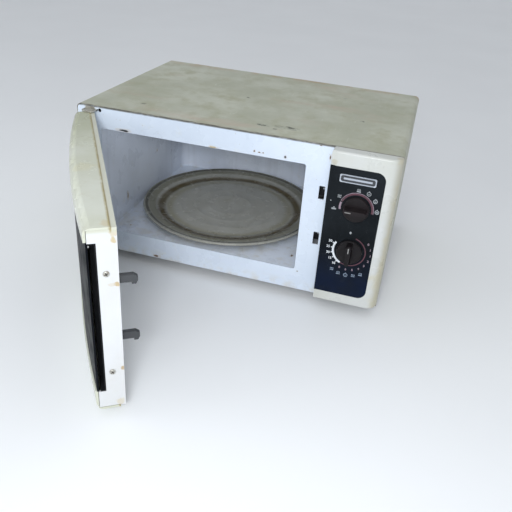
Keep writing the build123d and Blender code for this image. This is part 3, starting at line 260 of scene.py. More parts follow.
def enamel(name, base, shade, spots, grime_low, streaks=0.0, gloss=0.22, top_seam_shadow=None):
    """White stove enamel with rust, chips and greasy marks, and, if a height is given, a painted shadow line just
    under it for the shaded gap beneath the part above.
    """
    p = Paint(name, Coat_Weight=0.25, Coat_Roughness=0.12)
    tone = p.mix(p.band(p.noise(14, 4), 0.35, 0.7), base, shade)
    tone = p.over(tone, (0.72, 0.74, 0.72), p.band(p.noise(60, 5, 0.65, offset=(2, 5, 1)), 0.55, 0.8), 0.5)
    if streaks:
        run = p.noise(70, 3, 0.6, stretch=(1, 1, 0.03), offset=(0, 3, 0))
        tone = p.over(tone, (0.48, 0.50, 0.55), p.band(run, 0.50, 0.72), streaks)
    low = p.band(p.axis(2), grime_low, grime_low + 0.020, 0.55, 0.0)
    tone = p.over(tone, (0.55, 0.50, 0.38), low, p.band(p.noise(55, 4, offset=(7, 7, 1)), 0.42, 0.72))
    tone = p.over(tone, (0.38, 0.27, 0.14), p.band(p.noise(330, 2, 0.5, offset=(1, 8, 4)), 0.74, 0.79), 0.7)
    dark = []
    for centre, radius, tint, stretch in spots:
        mask = p.spot(centre, radius, 0.6, stretch)
        tone = p.over(tone, (0.60, 0.50, 0.38), p.spot(centre, radius * 1.9, 0.9, stretch), 0.35)
        tone = p.over(tone, tint, mask)
        dark.append(mask)
    if top_seam_shadow is not None:
        # Painted shadow: a dark band just under the given height, where the gap under the cover's front edge is in
        # shade.
        seam = p.band(p.axis(2), top_seam_shadow - 0.0026, top_seam_shadow - 0.0008)
        tone = p.over(tone, (0.10, 0.095, 0.08), seam, p.band(p.noise(90, 3), 0.25, 0.55, 0.6, 0.95))
    p.colour(tone)
    p.rough(p.band(p.noise(26, 4, offset=(3, 3, 3)), 0.3, 0.75, gloss, gloss + 0.18))
    p.bump(p.noise(650, 2), 0.04, 0.4)
    p.bump(p.maths("SUBTRACT", 1.0, p.most(dark)), 0.12, 0.8)
    return p.mat


OLD_DIRT = (0.42, 0.36, 0.22)


def moulded(name, base, aged, gloss, grain, grain_mm, dirt, dirt_tint=OLD_DIRT, stains=()):
    """Moulded plastic: uneven yellowing, grain, rubbed dirt and any stains. Gives the paint and its tone."""
    p = Paint(name, IOR=1.49)
    tone = p.mix(p.band(p.noise(11, 4, 0.6), 0.32, 0.72), base, aged)
    tone = p.over(tone, dirt_tint, p.band(p.noise(45, 5, 0.65, offset=(1, 6, 2)), 0.55, 0.85), dirt)
    tone = p.over(tone, dirt_tint, p.band(p.noise(700, 2, 0.6, offset=(8, 1, 1)), 0.68, 0.80), dirt)
    for centre, radius, tint, stretch, amount in stains:
        tone = p.over(tone, tint, p.spot(centre, radius, 0.8, stretch), amount)
    tone = p.over(tone, aged, p.scratches(160, (0.3, 0.2, 0.9), 0.005), 0.25)
    p.colour(tone)
    p.rough(p.band(p.noise(30, 4, offset=(6, 2, 8)), 0.3, 0.75, gloss, gloss + 0.16))
    p.bump(p.noise(grain, 2), grain_mm, 0.6)
    return p, tone


def metal(name, base, worn, gloss, lay, scale, rust=0.0, metallic=1.0):
    """Sheet or turned metal: a brushed lay, dull patches and specks of rust."""
    p = Paint(name, Metallic=metallic)
    brushed = p.noise(scale, 2, 0.6, stretch=lay)
    tone = p.mix(p.band(brushed, 0.35, 0.65), base, worn)
    dull = p.band(p.noise(40, 4, 0.6, offset=(2, 2, 5)), 0.45, 0.8)
    tone = p.over(tone, tuple(0.75 * c for c in worn), dull)
    if rust:
        mask = p.maths("MULTIPLY", p.band(p.noise(85, 5, 0.7, offset=(9, 4, 1)), 0.58, 0.68), rust)
        tone = p.over(tone, (0.22, 0.10, 0.045), mask)
        p.feed(p.bsdf.inputs["Metallic"], p.maths("MULTIPLY", p.maths("SUBTRACT", 1.0, mask), metallic))
    p.colour(tone)
    p.rough(p.band(p.noise(60, 4), 0.3, 0.7, gloss, gloss + 0.22))
    p.bump(brushed, 0.03, 0.5)
    return p.mat


def glossy_black(name, base, film, film_amount, gloss, shine):
    """Polished black plastic with dust, finger marks and fine scratches. Gives the paint and its tone."""
    p = Paint(name, Specular_IOR_Level=shine, IOR=1.3)
    tone = p.mix(p.band(p.noise(13, 4), 0.35, 0.7), base, tuple(1.6 * c + 0.002 for c in base))
    smear = p.band(p.noise(38, 5, 0.7, stretch=(1, 1, 0.5), offset=(5, 1, 2)), 0.50, 0.80)
    tone = p.over(tone, film, smear, film_amount)
    tone = p.over(tone, (0.35, 0.36, 0.36), p.band(p.noise(1500, 2, 0.5), 0.70, 0.80), 0.25)
    tone = p.over(tone, (0.22, 0.23, 0.24), p.scratches(210, (0.2, 0.6, 0.3), 0.004), 0.35)
    p.rough(p.band(p.noise(44, 4, offset=(9, 9, 2)), 0.35, 0.8, gloss, gloss + 0.20))
    p.bump(p.noise(420, 2), 0.015, 0.4)
    return p, tone


def glass(name, tint, film, film_amount, transmission):
    """Pressed glass, unevenly tinted, under a thin cloudy film. Gives the paint and its tone."""
    p = Paint(name, Transmission_Weight=transmission, IOR=1.47, Specular_IOR_Level=0.28)
    tone = p.mix(p.band(p.noise(20, 3), 0.35, 0.7), tint, tuple(0.92 * c for c in tint))
    tone = p.over(tone, film, p.band(p.noise(32, 5, 0.65), 0.36, 0.74), film_amount)
    p.colour(tone)
    p.rough(p.band(p.noise(55, 4, offset=(1, 2, 3)), 0.3, 0.75, 0.12, 0.34))
    p.bump(p.noise(120, 2), 0.015, 0.3)
    return p, tone


# ---- Marked surfaces: each mark is a place, a radius in millimetres, a colour and a stretch ----------
RUST = (0.12, 0.062, 0.030)
CHIP = (0.030, 0.032, 0.036)
AMBER = (0.56, 0.46, 0.27)
BROWN = (0.27, 0.18, 0.09)
EVEN = (1, 1, 1)

plate_marks = [
    (cab(72, 0, 197), 8.5, CHIP, (1, 1, 4.5)), (cab(263.6, 0, 200.7), 1.5, RUST, EVEN),
    (cab(270.5, 0, 200.2), 1.2, RUST, (0.6, 1, 1.4)), (cab(306.4, 0, 199.9), 1.8, CHIP, EVEN),
    (cab(276, 0, 200.4), 1.0, RUST, EVEN), (cab(352, 0, 224), 2.0, RUST, (1, 1, 2)),
    (cab(366, 0, 210), 1.2, RUST, (1, 1, 0.4)), (cab(118, 0, 3), 3.0, RUST, (0.6, 1, 1.5)),
    (cab(340, 0, 30), 1.1, RUST, EVEN), (cab(205, 0, 196), 2.2, AMBER, (0.4, 1, 1.8))]
cavity_marks = [
    (cab(322, 40, 30), 2.0, RUST, (1, 0.6, 1)), (cab(60, 30, 30), 1.4, BROWN, EVEN),
    (cab(90, 297, 120), 1.6, BROWN, (1, 1, 0.5)), (cab(36, 70, 60), 2.2, BROWN, (1, 1, 0.4)),
    (cab(36, 180, 100), 1.5, BROWN, (1, 1, 0.6))]
plate_enamel = enamel(
    "plate_enamel", (0.70, 0.775, 0.88), (0.655, 0.73, 0.84), plate_marks, datum.z,
    top_seam_shadow=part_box("front_plate")[1].z)
cavity_enamel = enamel(
    "cavity_enamel", (0.82, 0.875, 0.97), (0.75, 0.805, 0.90), cavity_marks, datum.z + 0.022, 0.25, 0.24)

# The door's shell and inner frame meet in a seam this far inward of the hinge. Millimetres.
SEAM_INWARD = 2.3
DOOR_LENGTH = 344.5


def seam_grime(paint, reach, noise, least):
    """Dirt in the seam between the door's shell and its inner frame, fading out over a reach in metres."""
    from_seam = paint.maths("ABSOLUTE", paint.past(hinge_point + door_inward * SEAM_INWARD * MM, door_inward))
    near = paint.band(from_seam, 0.0, reach, 1.0, 0.0)
    return paint.maths("MULTIPLY", near, paint.band(noise, 0.25, 0.60, least, 1.0))


shell_paint, shell_tone = moulded(
    "shell_plastic", (0.640, 0.655, 0.570), (0.560, 0.572, 0.455), 0.16, 900, 0.006, 0.35, stains=(
        (door(336, 0, 219), 9, AMBER, EVEN, 0.5), (door(200, -14, 220), 14, (0.60, 0.58, 0.40), EVEN, 0.5),
        (door(60, -10, 220), 26, (0.47, 0.49, 0.35), EVEN, 0.55),
        (door(20, -8, 219), 30, (0.42, 0.43, 0.30), EVEN, 0.6)))
# The shell is made darker towards the hinge, fading out over 170 mm, together with the two greyish marks nearest
# the hinge above.
near_hinge = shell_paint.band(shell_paint.past(hinge_point, door_along), 0.0, 0.17, 0.75, 0.0)
shell_tone = shell_paint.over(shell_tone, (0.40, 0.415, 0.285), near_hinge)
shell_grime = seam_grime(shell_paint, 0.0030, shell_paint.noise(60, 4, 0.6, offset=(1, 9, 1)), 0.35)
shell_paint.colour(shell_paint.over(shell_tone, (0.36, 0.30, 0.14), shell_grime))

frame_paint, frame_tone = moulded(
    "inner_frame_plastic", (0.70, 0.715, 0.74), (0.655, 0.66, 0.655), 0.28, 1100, 0.02, 0.16, stains=(
        (door(DOOR_LENGTH, 4.5, 206), 3.2, AMBER, (1, 1, 0.7), 0.9),
        (door(DOOR_LENGTH, 5, 214), 4.5, AMBER, (1, 1, 0.8), 0.6),
        (door(DOOR_LENGTH, 5.5, 157), 2.8, (0.50, 0.38, 0.20), (1, 1, 0.8), 0.9),
        (door(DOOR_LENGTH, 1, 157), 4.0, AMBER, (1, 1, 1.4), 0.35),
        (door(DOOR_LENGTH, 6.5, 52), 2.2, (0.46, 0.33, 0.17), (1, 1, 0.7), 0.85),
        (door(DOOR_LENGTH, 3, 6), 6, AMBER, EVEN, 0.45), (door(300, 8, 210), 12, AMBER, EVEN, 0.35)))
top_face = frame_paint.band(frame_paint.axis(2), datum.z + 0.2125, datum.z + 0.2165)
frame_tone = frame_paint.over(frame_tone, (0.56, 0.565, 0.45), top_face, 0.85)
frame_grime = seam_grime(frame_paint, 0.0016, frame_paint.noise(42, 4, 0.6), 0.4)
frame_paint.colour(frame_paint.over(frame_tone, (0.36, 0.29, 0.13), frame_grime, top_face))

panel_paint, panel_tone = moulded(
    "panel_plastic", (0.620, 0.635, 0.625), (0.575, 0.585, 0.540), 0.24, 900, 0.03, 0.25, stains=(
        (cab(COVER_SIDE, -4, 30), 24, (0.56, 0.50, 0.30), (1, 1, 0.3), 0.55),
        (cab(COVER_SIDE, -2, 120), 16, (0.60, 0.55, 0.36), (1, 1, 0.16), 0.5),
        (cab(374, -18, 212), 5, (0.50, 0.46, 0.33), EVEN, 0.5), (cab(452, -8, 222), 8, AMBER, EVEN, 0.35)))
# Darker and yellower towards the right side: painted shade on the side turned away from the light, tinted yellow.
side_shade = panel_paint.band(panel_paint.axis(0), cover_high.x - 0.012, cover_high.x, 0.0, 0.7)
panel_tone = panel_paint.over(panel_tone, (0.42, 0.395, 0.29), side_shade)
# Painted shadow: a dark line along the panel's back edge, where the gap to the cover's front edge is in shade.
panel_seam_shadow = panel_paint.band(panel_paint.axis(1), datum.y - 0.0022, datum.y - 0.0008, 0.0, 0.9)
panel_paint.colour(panel_paint.over(panel_tone, (0.10, 0.09, 0.065), panel_seam_shadow))

window_paint, window_tone = glossy_black(
    "window_acrylic", (0.006, 0.007, 0.009), (0.020, 0.024, 0.023), 0.22, 0.30, 0.02)
window_paint.colour(window_tone)
fascia_paint, fascia_tone = glossy_black(
    "fascia_film", (0.008, 0.010, 0.012), (0.018, 0.024, 0.032), 0.30, 0.14, 0.10)
low_part = fascia_paint.band(fascia_paint.axis(2), fascia_low.z + 0.004, fascia_low.z + 0.085, 0.75, 0.0)
cloudy = fascia_paint.band(fascia_paint.noise(30, 3, offset=(4, 4, 4)), 0.2, 0.6, 0.45, 1.0)
fascia_paint.colour(fascia_paint.over(fascia_tone, (0.006, 0.013, 0.038), low_part, cloudy))

# Bands painted on the tray: inner and outer radius and softness in millimetres, how much of the spill's
# shift applies, colour and strength. The outermost band is a painted highlight on the rim's outer edge, the
# dark band inside it is painted shadow on the rim's inner edge, and the others are baked dirt.
SPILL_SHIFT = Vector((2.0, -8.0, 0.0))
TRAY_RINGS = (
    # painted highlight on the rim's outer edge
    (145, 150, 0.8, 0, (0.34, 0.34, 0.30), 0.8),
    # painted shadow on the rim's inner edge
    (138.5, 144, 1.5, 0, (0.075, 0.068, 0.046), 0.85),
    (126, 138, 2.0, 0, (0.25, 0.24, 0.175), 0.85),
    (96, 108, 5.0, 1, (0.34, 0.315, 0.21), 0.7),
    (110, 122, 4.0, 1, (0.105, 0.076, 0.026), 0.95),
)
tray_centre = (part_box("glass_tray")[0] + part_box("glass_tray")[1]) / 2
tray_paint, tray_tone = glass("tray_glass", (0.50, 0.49, 0.44), (0.41, 0.40, 0.34), 0.6, 0.12)
for ring_inner, ring_outer, softness, shifted, ring_tint, amount in TRAY_RINGS:
    ring = tray_paint.ring(tray_centre + SPILL_SHIFT * shifted * MM, ring_inner, ring_outer, softness)
    tray_tone = tray_paint.over(tray_tone, ring_tint, ring, amount)
tray_paint.colour(tray_tone)


# ---- Plain materials and the CAD nodes' slots ----------------------------------------------------------
MOULDED = {  # fresh and aged colour, gloss, grain and its depth in millimetres, dirt and its colour
    "knob_plastic": ((0.007, 0.006, 0.007), (0.014, 0.010, 0.011), 0.30, 1400, 0.02, 0.15, (0.08, 0.068, 0.060)),
    "black_plastic": ((0.016, 0.017, 0.020), (0.030, 0.030, 0.032), 0.42, 1300, 0.05, 0.25, (0.10, 0.095, 0.08)),
    "grip_plastic": ((0.008, 0.009, 0.011), (0.014, 0.014, 0.016), 0.55, 1300, 0.05, 0.12, (0.05, 0.046, 0.040)),
    "hook_plastic": ((0.030, 0.033, 0.037), (0.055, 0.058, 0.062), 0.45, 1300, 0.04, 0.3, (0.16, 0.15, 0.13)),
    "grey_plastic": ((0.52, 0.55, 0.59), (0.44, 0.46, 0.48), 0.45, 1200, 0.04, 0.4, (0.22, 0.20, 0.17)),
    "white_plastic": ((0.80, 0.81, 0.80), (0.72, 0.72, 0.66), 0.40, 1200, 0.03, 0.25),
    "choke_plastic": ((0.78, 0.79, 0.78), (0.70, 0.70, 0.63), 0.42, 1000, 0.04, 0.3),
    "roller_plastic": ((0.70, 0.69, 0.62), (0.60, 0.57, 0.46), 0.45, 1500, 0.03, 0.45),
    "coupler_plastic": ((0.52, 0.50, 0.45), (0.44, 0.41, 0.33), 0.45, 1500, 0.03, 0.45),
    "mica_sheet": ((0.52, 0.44, 0.30), (0.43, 0.35, 0.22), 0.50, 500, 0.08, 0.5, (0.25, 0.17, 0.08)),
    "board_laminate": ((0.27, 0.19, 0.07), (0.21, 0.14, 0.05), 0.45, 700, 0.04, 0.3, (0.12, 0.09, 0.05)),
    "foot_rubber": ((0.020, 0.020, 0.021), (0.035, 0.034, 0.032), 0.72, 800, 0.10, 0.35, (0.12, 0.11, 0.10)),
    "screen_paint": ((0.030, 0.031, 0.034), (0.045, 0.046, 0.048), 0.45, 1200, 0.03, 0.2, (0.12, 0.11, 0.09)),
    "badge_rim": ((0.50, 0.54, 0.60), (0.36, 0.39, 0.45), 0.3, 900, 0.01, 0.3, (0.20, 0.21, 0.23)),
    "badge_field": ((0.022, 0.025, 0.030), (0.045, 0.050, 0.058), 0.25, 900, 0.01, 0.3, (0.18, 0.20, 0.22)),
    "pointer_paint": ((0.34, 0.34, 0.33), (0.22, 0.21, 0.20), 0.4, 900, 0.01, 0.35, (0.2, 0.18, 0.16)),
    # dark crosses on the screw heads: painted shade for the cross recesses
    "screw_recess": ((0.02, 0.02, 0.02), (0.05, 0.04, 0.03), 0.6, 900, 0.02, 0.4, (0.10, 0.07, 0.04)),
    "label_foil": ((0.60, 0.61, 0.60), (0.50, 0.50, 0.46), 0.35, 500, 0.02, 0.4, (0.32, 0.28, 0.19)),
    "label_ink": ((0.03, 0.03, 0.035), (0.08, 0.08, 0.08), 0.5, 900, 0.01, 0.5, (0.30, 0.29, 0.26)),
}
METALS = {  # bright and worn colour, gloss, lay, grain scale, rust and how metallic it is
    "zinc_steel": ((0.56, 0.57, 0.57), (0.47, 0.48, 0.48), 0.36, EVEN, 260, 0.35),
    "badge_metal": ((0.62, 0.65, 0.70), (0.50, 0.53, 0.58), 0.24, (0.05, 1, 1), 1600),
    "core_steel": ((0.20, 0.20, 0.21), (0.15, 0.14, 0.13), 0.45, (1, 0.03, 1), 1200, 0.5, 0.7),
    "copper_winding": ((0.62, 0.27, 0.12), (0.46, 0.18, 0.07), 0.28, (1, 1, 8), 500),
    "anode_aluminium": ((0.66, 0.67, 0.69), (0.55, 0.56, 0.58), 0.32, (1, 0.05, 1), 900),
    "can_aluminium": ((0.60, 0.61, 0.63), (0.50, 0.51, 0.53), 0.34, (0.05, 1, 1), 900),
    "bell_steel": ((0.68, 0.69, 0.70), (0.55, 0.56, 0.57), 0.18, EVEN, 300, 0.2),
    "shaft_steel": ((0.52, 0.53, 0.54), (0.42, 0.43, 0.44), 0.28, (1, 8, 1), 500, 0.2),
    "plated_steel": ((0.62, 0.61, 0.56), (0.50, 0.48, 0.42), 0.32, EVEN, 400, 0.45),
    "spring_wire": ((0.55, 0.55, 0.54), (0.45, 0.44, 0.42), 0.28, EVEN, 700, 0.3),
}
plain_paint = {name: moulded(name, *row)[0] for name, row in MOULDED.items()}
plain_paint["knob_plastic"].fix(Specular_IOR_Level=0.22)
plain_paint["grip_plastic"].fix(Specular_IOR_Level=0.15)

slot_material = {name: paint.mat for name, paint in plain_paint.items()}
slot_material.update({name: metal(name, *row) for name, row in METALS.items()})
slot_material.update({
    "cover_paint": cover_paint(), "white_enamel": cavity_enamel, "cream_plastic": shell_paint.mat,
    "black_window": window_paint.mat, "black_fascia": fascia_paint.mat, "tray_glass": tray_paint.mat,
    "bulb_glass": glass("bulb_glass", (0.90, 0.88, 0.82), (0.55, 0.50, 0.42), 0.25, 0.9)[0].mat,
    "copper_wire": slot_material["copper_winding"]})
node_material = {
    "front_plate": plate_enamel, "control_frame": panel_paint.mat, "door_inner_frame": frame_paint.mat,
    "latch_hooks": slot_material["hook_plastic"], "grip_liner": slot_material["grip_plastic"],
    "latch_board": slot_material["grey_plastic"],
}
for part in frame["record"]["subparts"]:
    made = node_material.get(part["node"], slot_material[part["material_slot"]])
    held = frame["nodes"][part["node"]].data.materials
    for index in range(len(held)):
        held[index] = made


# ---- Mesh helpers -------------------------------------------------------------------------------
def mesh_from(name, builder):
    """A mesh filled in by a function that is given a bmesh."""
    shape = bmesh.new()
    builder(shape)
    bmesh.ops.recalc_face_normals(shape, faces=shape.faces)
    mesh = bpy.data.meshes.new(name)
    shape.to_mesh(mesh)
    shape.free()
    return mesh


def piece(name, builder, body, material, smooth=False):
    """A built object in the shared frame that rides a body and has a material."""
    mesh = mesh_from(name, builder)
    made = bpy.data.objects.new(name, mesh)
    scene.collection.objects.link(made)
    mesh.materials.append(material)
    if smooth:
        mesh.shade_smooth()
    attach(made, body)
    return made


def polar(radius, degrees, centre=(0, 0)):
    turn = math.radians(degrees)
    return centre[0] + radius * math.cos(turn), centre[1] + radius * math.sin(turn)


def arc(radius, start, stop, steps, centre=(0, 0)):
    """Points along a circle from one angle to another, in degrees."""
    return [polar(radius, start + (stop - start) * i / steps, centre) for i in range(steps + 1)]


def disc(radius, count, centre):
    """Outline of a circle."""
    return arc(radius, 0, 360, count, centre)[:-1]


def rounded(width, height, radius, steps, centre=(0, 0)):
    """Outline of a rectangle with round corners."""
    points = []
    for quarter in range(4):
        cx = centre[0] + (width / 2 - radius) * (1, -1, -1, 1)[quarter]
        cy = centre[1] + (height / 2 - radius) * (1, 1, -1, -1)[quarter]
        points += arc(radius, 90 * quarter, 90 * (quarter + 1), steps, (cx, cy))
    return points


def slab(shape, outline, origin, across, up, thick):
    """A flat plate with that outline, in millimetres on the plane of two directions."""
    out = across.cross(up).normalized()
    low, high = [[shape.verts.new(origin + (across * x + up * y + out * height) * MM) for x, y in outline]
                 for height in (0.0, thick)]
    for i in range(len(outline)):
        j = (i + 1) % len(outline)
        shape.faces.new((low[i], low[j], high[j], high[i]))
    shape.faces.new(low[::-1])
    shape.faces.new(high)


def ribbon(shape, inner, outer, origin, across, up, thick):
    """A flat band between two outlines with as many points each, open, or closed where the ends meet."""
    out = across.cross(up).normalized()
    closed = (Vector(inner[0]) - Vector(inner[-1])).length < 1e-6
    if closed:
        inner, outer = inner[:-1], outer[:-1]
    rows = [[shape.verts.new(origin + (across * x + up * y + out * height) * MM) for x, y in line]
            for line, height in ((inner, 0), (inner, thick), (outer, thick), (outer, 0))]
    count = len(inner)
    for i in range(count if closed else count - 1):
        j = (i + 1) % count
        for a, b in ((0, 1), (1, 2), (2, 3), (3, 0)):
            shape.faces.new((rows[a][i], rows[b][i], rows[b][j], rows[a][j]))
    if not closed:
        shape.faces.new([row[0] for row in rows][::-1])
        shape.faces.new([row[-1] for row in rows])


def lathe(shape, profile, middle, count):
    """A surface turned about an upright axis from radii and heights in metres. Gives its rings of points."""
    rings = []
    for radius, height in profile:
        if radius == 0:
            rings.append([shape.verts.new((middle.x, middle.y, height))])
            continue
        ring_points = arc(radius, 0, 360, count, (middle.x, middle.y))[:-1]
        rings.append([shape.verts.new((x, y, height)) for x, y in ring_points])
    for first, second in zip(rings, rings[1:]):
        for i in range(count):
            j = (i + 1) % count
            if len(first) == 1:
                shape.faces.new((first[0], second[i], second[j]))
            elif len(second) == 1:
                shape.faces.new((first[i], second[0], first[j]))
            else:
                shape.faces.new((first[i], second[i], second[j], first[j]))
    return rings


# ---- Control panel print: scales, numbers and plain symbols, with sizes in millimetres ----------------
PRINT_THICK = 0.06
PRINT_GAP = 0.02
DIAL_ACROSS = 410.5
TIMER_HEIGHT = 89.5
POWER_HEIGHT = 153.0
DIGIT_WEIGHT = 0.12


def fascia_point(across, height):
    """A point just in front of the fascia, in millimetres from the cover's corner."""
    point = cab(across, 0, height)
    point.y = fascia_low.y - PRINT_GAP * MM
    return point


timer_middle = fascia_point(DIAL_ACROSS, TIMER_HEIGHT)
power_middle = fascia_point(DIAL_ACROSS, POWER_HEIGHT)


def printed(name, builder, tint, wear):
    """Screen print on the fascia, worn thin in places."""
    p = Paint(name)
    thin = p.band(p.noise(300, 3, 0.6), 0.42, 0.70)
    tone = p.mix(p.band(p.noise(60, 3), 0.35, 0.7), tint, tuple(0.8 * c for c in tint))
    p.colour(p.over(tone, (0.06, 0.065, 0.07), thin, wear))
    p.rough(p.band(p.noise(80, 3), 0.3, 0.7, 0.30, 0.5))
    p.bump(p.noise(1500, 2), 0.01, 0.4)
    return piece(name, builder, "cabinet", p.mat)


def number(shape, text, radius, turn, height):
    """A number of that height laid on the fascia beside the timer's knob."""
    curve = bpy.data.curves.new("number", "FONT")
    curve.body = text
    curve.size = height * MM
    curve.extrude = PRINT_THICK / 2 * MM
    curve.align_x = "CENTER"
    curve.align_y = "CENTER"
    curve.resolution_u = 3
    curve.offset = DIGIT_WEIGHT * MM
    holder = bpy.data.objects.new("number", curve)
    scene.collection.objects.link(holder)
    bpy.context.view_layer.update()
    flat = bpy.data.meshes.new_from_object(holder.evaluated_get(bpy.context.evaluated_depsgraph_get()))
    x, z = polar(radius, turn)
    origin = fascia_point(DIAL_ACROSS + x, TIMER_HEIGHT + z)
    flat.transform(Matrix.Translation(origin) @ Matrix.Rotation(math.pi / 2, 4, "X"))
    shape.from_mesh(flat)
    bpy.data.objects.remove(holder)
    bpy.data.curves.remove(curve)
    bpy.data.meshes.remove(flat)


def ink(shape, outline, origin):
    slab(shape, outline, origin, ACROSS, UP, PRINT_THICK)


def sweep(shape, inner, outer, start, stop, steps, origin, centre=(0, 0)):
    """A printed arc between two radii and two angles."""
    inside, outside = (arc(radius, start, stop, steps, centre) for radius in (inner, outer))
    ribbon(shape, inside, outside, origin, ACROSS, UP, PRINT_THICK)


def symbol(shape, index, px, py, origin):
    """Plain cooking symbols: a dish, a grid, steam over a dish, and round pans holding more or less."""
    if index == 0:
        ink(shape, rounded(6.4, 2.2, 1.0, 4, (px, py - 0.6)), origin)
        ink(shape, rounded(2.0, 1.4, 0.5, 3, (px, py + 1.6)), origin)
    elif index == 1:
        for column in (-1.7, 0.0, 1.7):
            for row in (-1.2, 1.2):
                ink(shape, rounded(1.2, 1.7, 0.3, 2, (px + column, py + row)), origin)
    elif index == 2:
        ink(shape, rounded(5.4, 1.3, 0.6, 3, (px, py - 1.6)), origin)
        for column in (-1.6, 0.0, 1.6):
            ink(shape, rounded(0.8, 2.6, 0.35, 3, (px + column, py + 0.9)), origin)
    else:
        sweep(shape, 2.1, 2.9, 0, 360, 24, origin, (px, py))
        ink(shape, rounded(2.6, 0.7 + 0.5 * (index - 3), 0.3, 2, (px, py - 0.3)), origin)
        ink(shape, disc(0.6, 8, (px, py + 3.4)), origin)


# Numbers on the timer's scale and symbols round the power dial: angles in degrees, and radii in millimetres.
TIMER_BRIGHT = ((158, "30"), (176, "25"), (194, "20"), (212, "15"), (230, "10"))
TIMER_FAINT = (
    (250, "8"), (268, "6"), (286, "5"), (304, "4"), (322, "3"), (340, "2"), (358, "1"), (16, "1"), (34, "0"))
TIMER_SYMBOLS = (238, 254, 270, 286, 302)
POWER_SYMBOLS = ((29, 188), (27.5, 149), (26.5, 90), (27.5, 61), (27.5, 34), (27, 2))


def white_print(shape):
    for turn, text in TIMER_BRIGHT:
        number(shape, text, 29.0, turn, 5.0)
        ink(shape, disc(0.9, 10, polar(24.4, turn)), timer_middle)
    number(shape, "0", 28.0, 94, 4.6)
    sweep(shape, 20.6, 23.4, 150, 242, 24, timer_middle)


def icon_print(shape):
    for index, (radius, turn) in enumerate(POWER_SYMBOLS):
        symbol(shape, index, *polar(radius, turn), power_middle)
    ink(shape, disc(0.8, 10, (-34.0, 6.3)), power_middle)


def red_print(shape):
    sweep(shape, 19.8, 22.0, -8, 158, 40, power_middle)
    sweep(shape, 20.9, 22.4, -118, 74, 44, timer_middle)


def rose_print(shape):
    for turn, text in TIMER_FAINT:
        number(shape, text, 28.6, turn, 4.4)
    sweep(shape, 22.3, 22.9, -8, 158, 40, power_middle)
    sweep(shape, 20.0, 22.6, 162, 190, 8, power_middle)


def blue_print(shape):
    for index, turn in enumerate(TIMER_SYMBOLS):
        symbol(shape, 1 + index % 3, *polar(37.5, turn), timer_middle)


printed("print_white", white_print, (0.80, 0.84, 0.88), 0.30)
printed("print_icons", icon_print, (0.42, 0.45, 0.47), 0.35)
printed("print_red", red_print, (0.105, 0.028, 0.045), 0.35)
printed("print_rose", rose_print, (0.40, 0.30, 0.36), 0.45)
printed("print_blue", blue_print, (0.30, 0.38, 0.50), 0.55)


# ---- Blank badge with a raised rim, and the light line on each knob's grip, with sizes in millimetres ----
BADGE_GAP = 0.02
BAR_LIFT = 0.06
RIM_THICK = 0.25
THIN = 0.05
POINTER_GAP = 0.01

badge_low, badge_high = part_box("badge")
badge_middle = (badge_low + badge_high) / 2
badge_middle.y = badge_low.y - BADGE_GAP * MM
badge_width = (badge_high.x - badge_low.x) / MM
badge_height = (badge_high.z - badge_low.z) / MM


def badge_rim(shape):
    outer = rounded(badge_width - 0.4, badge_height - 0.4, 4.6, 8)
    inner = rounded(badge_width - 2.2, badge_height - 2.2, 3.7, 8)
    ribbon(shape, inner + inner[:1], outer + outer[:1], badge_middle, ACROSS, UP, RIM_THICK)


def badge_field(shape):
    slab(shape, rounded(badge_width - 2.8, badge_height - 2.8, 2.9, 8), badge_middle, ACROSS, UP, THIN)


def badge_bar(shape):
    slab(shape, rounded(badge_width - 10, 2.6, 0.6, 4), badge_middle - BACK * BAR_LIFT * MM, ACROSS, UP, THIN)


piece("badge_rim", badge_rim, "cabinet", slot_material["badge_rim"])
piece("badge_bar", badge_bar, "cabinet", slot_material["badge_rim"])
piece("badge_field", badge_field, "cabinet", slot_material["badge_field"])

POINTERS = (  # knob, body and outline: the timer's grip stands upright and the power dial's lies across
    ("timer_knob", "timer_dial", rounded(1.3, 8.0, 0.5, 3, (0, 8.5))),
    ("power_knob", "power_dial", rounded(8.0, 1.3, 0.5, 3, (-8.5, 0))))
for knob, body, outline in POINTERS:
    knob_low, knob_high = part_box(knob)
    face = (knob_low + knob_high) / 2
    face.y = knob_low.y - POINTER_GAP * MM

    def pointer(shape, outline=outline, face=face):
        slab(shape, outline, face, ACROSS, UP, THIN)

    piece(f"{body}_pointer", pointer, body, slot_material["pointer_paint"])


# ---- Glass tray with pressed rings, standing in for the plain one, with sizes in millimetres -----------
tray_under = cab(0, 0, 34.6).z
TRAY_FLAT = 4.0
PRESSED_RINGS = (34, 58, 82)
TRAY_STEPS = 160
LUG_CIRCLE = 14
LUG_TURNS = (60, 180, 300)
LUG_STEPS = 20
LUG_PROFILE = ((3.0, 0.4), (3.0, -3.2), (2.4, -3.8), (0, -4.0))


def tray_profile():
    """Half section of the tray, from its top's middle to its underside's: radii and heights in millimetres."""
    top = [(0, TRAY_FLAT), (18, TRAY_FLAT)]
    for near in PRESSED_RINGS:
        top += [(near, TRAY_FLAT), (near + 1.2, TRAY_FLAT + 0.16), (near + 2.4, TRAY_FLAT)]
    step = [(108, 4.0), (110.2, 4.2), (112.2, 5.7), (120.0, 6.0), (121.6, 6.2), (123.4, 7.6), (132, 8.1)]
    rim = [(138.4, 8.6), (140.6, 9.6), (142.4, 10.0), (143.9, 9.95), (145.1, 9.3), (145.5, 8.3), (145.3, 7.0)]
    under = [(144.2, 6.1), (140.5, 5.6), (131, 4.2), (123.6, 2.6), (121.8, 2.0), (113.0, 0.5), (111.6, 0.0)]
    return top + step + rim + under + [(60, 0.0), (0, 0.0)]


def above_tray_underside(profile):
    return [(radius * MM, tray_under + height * MM) for radius, height in profile]


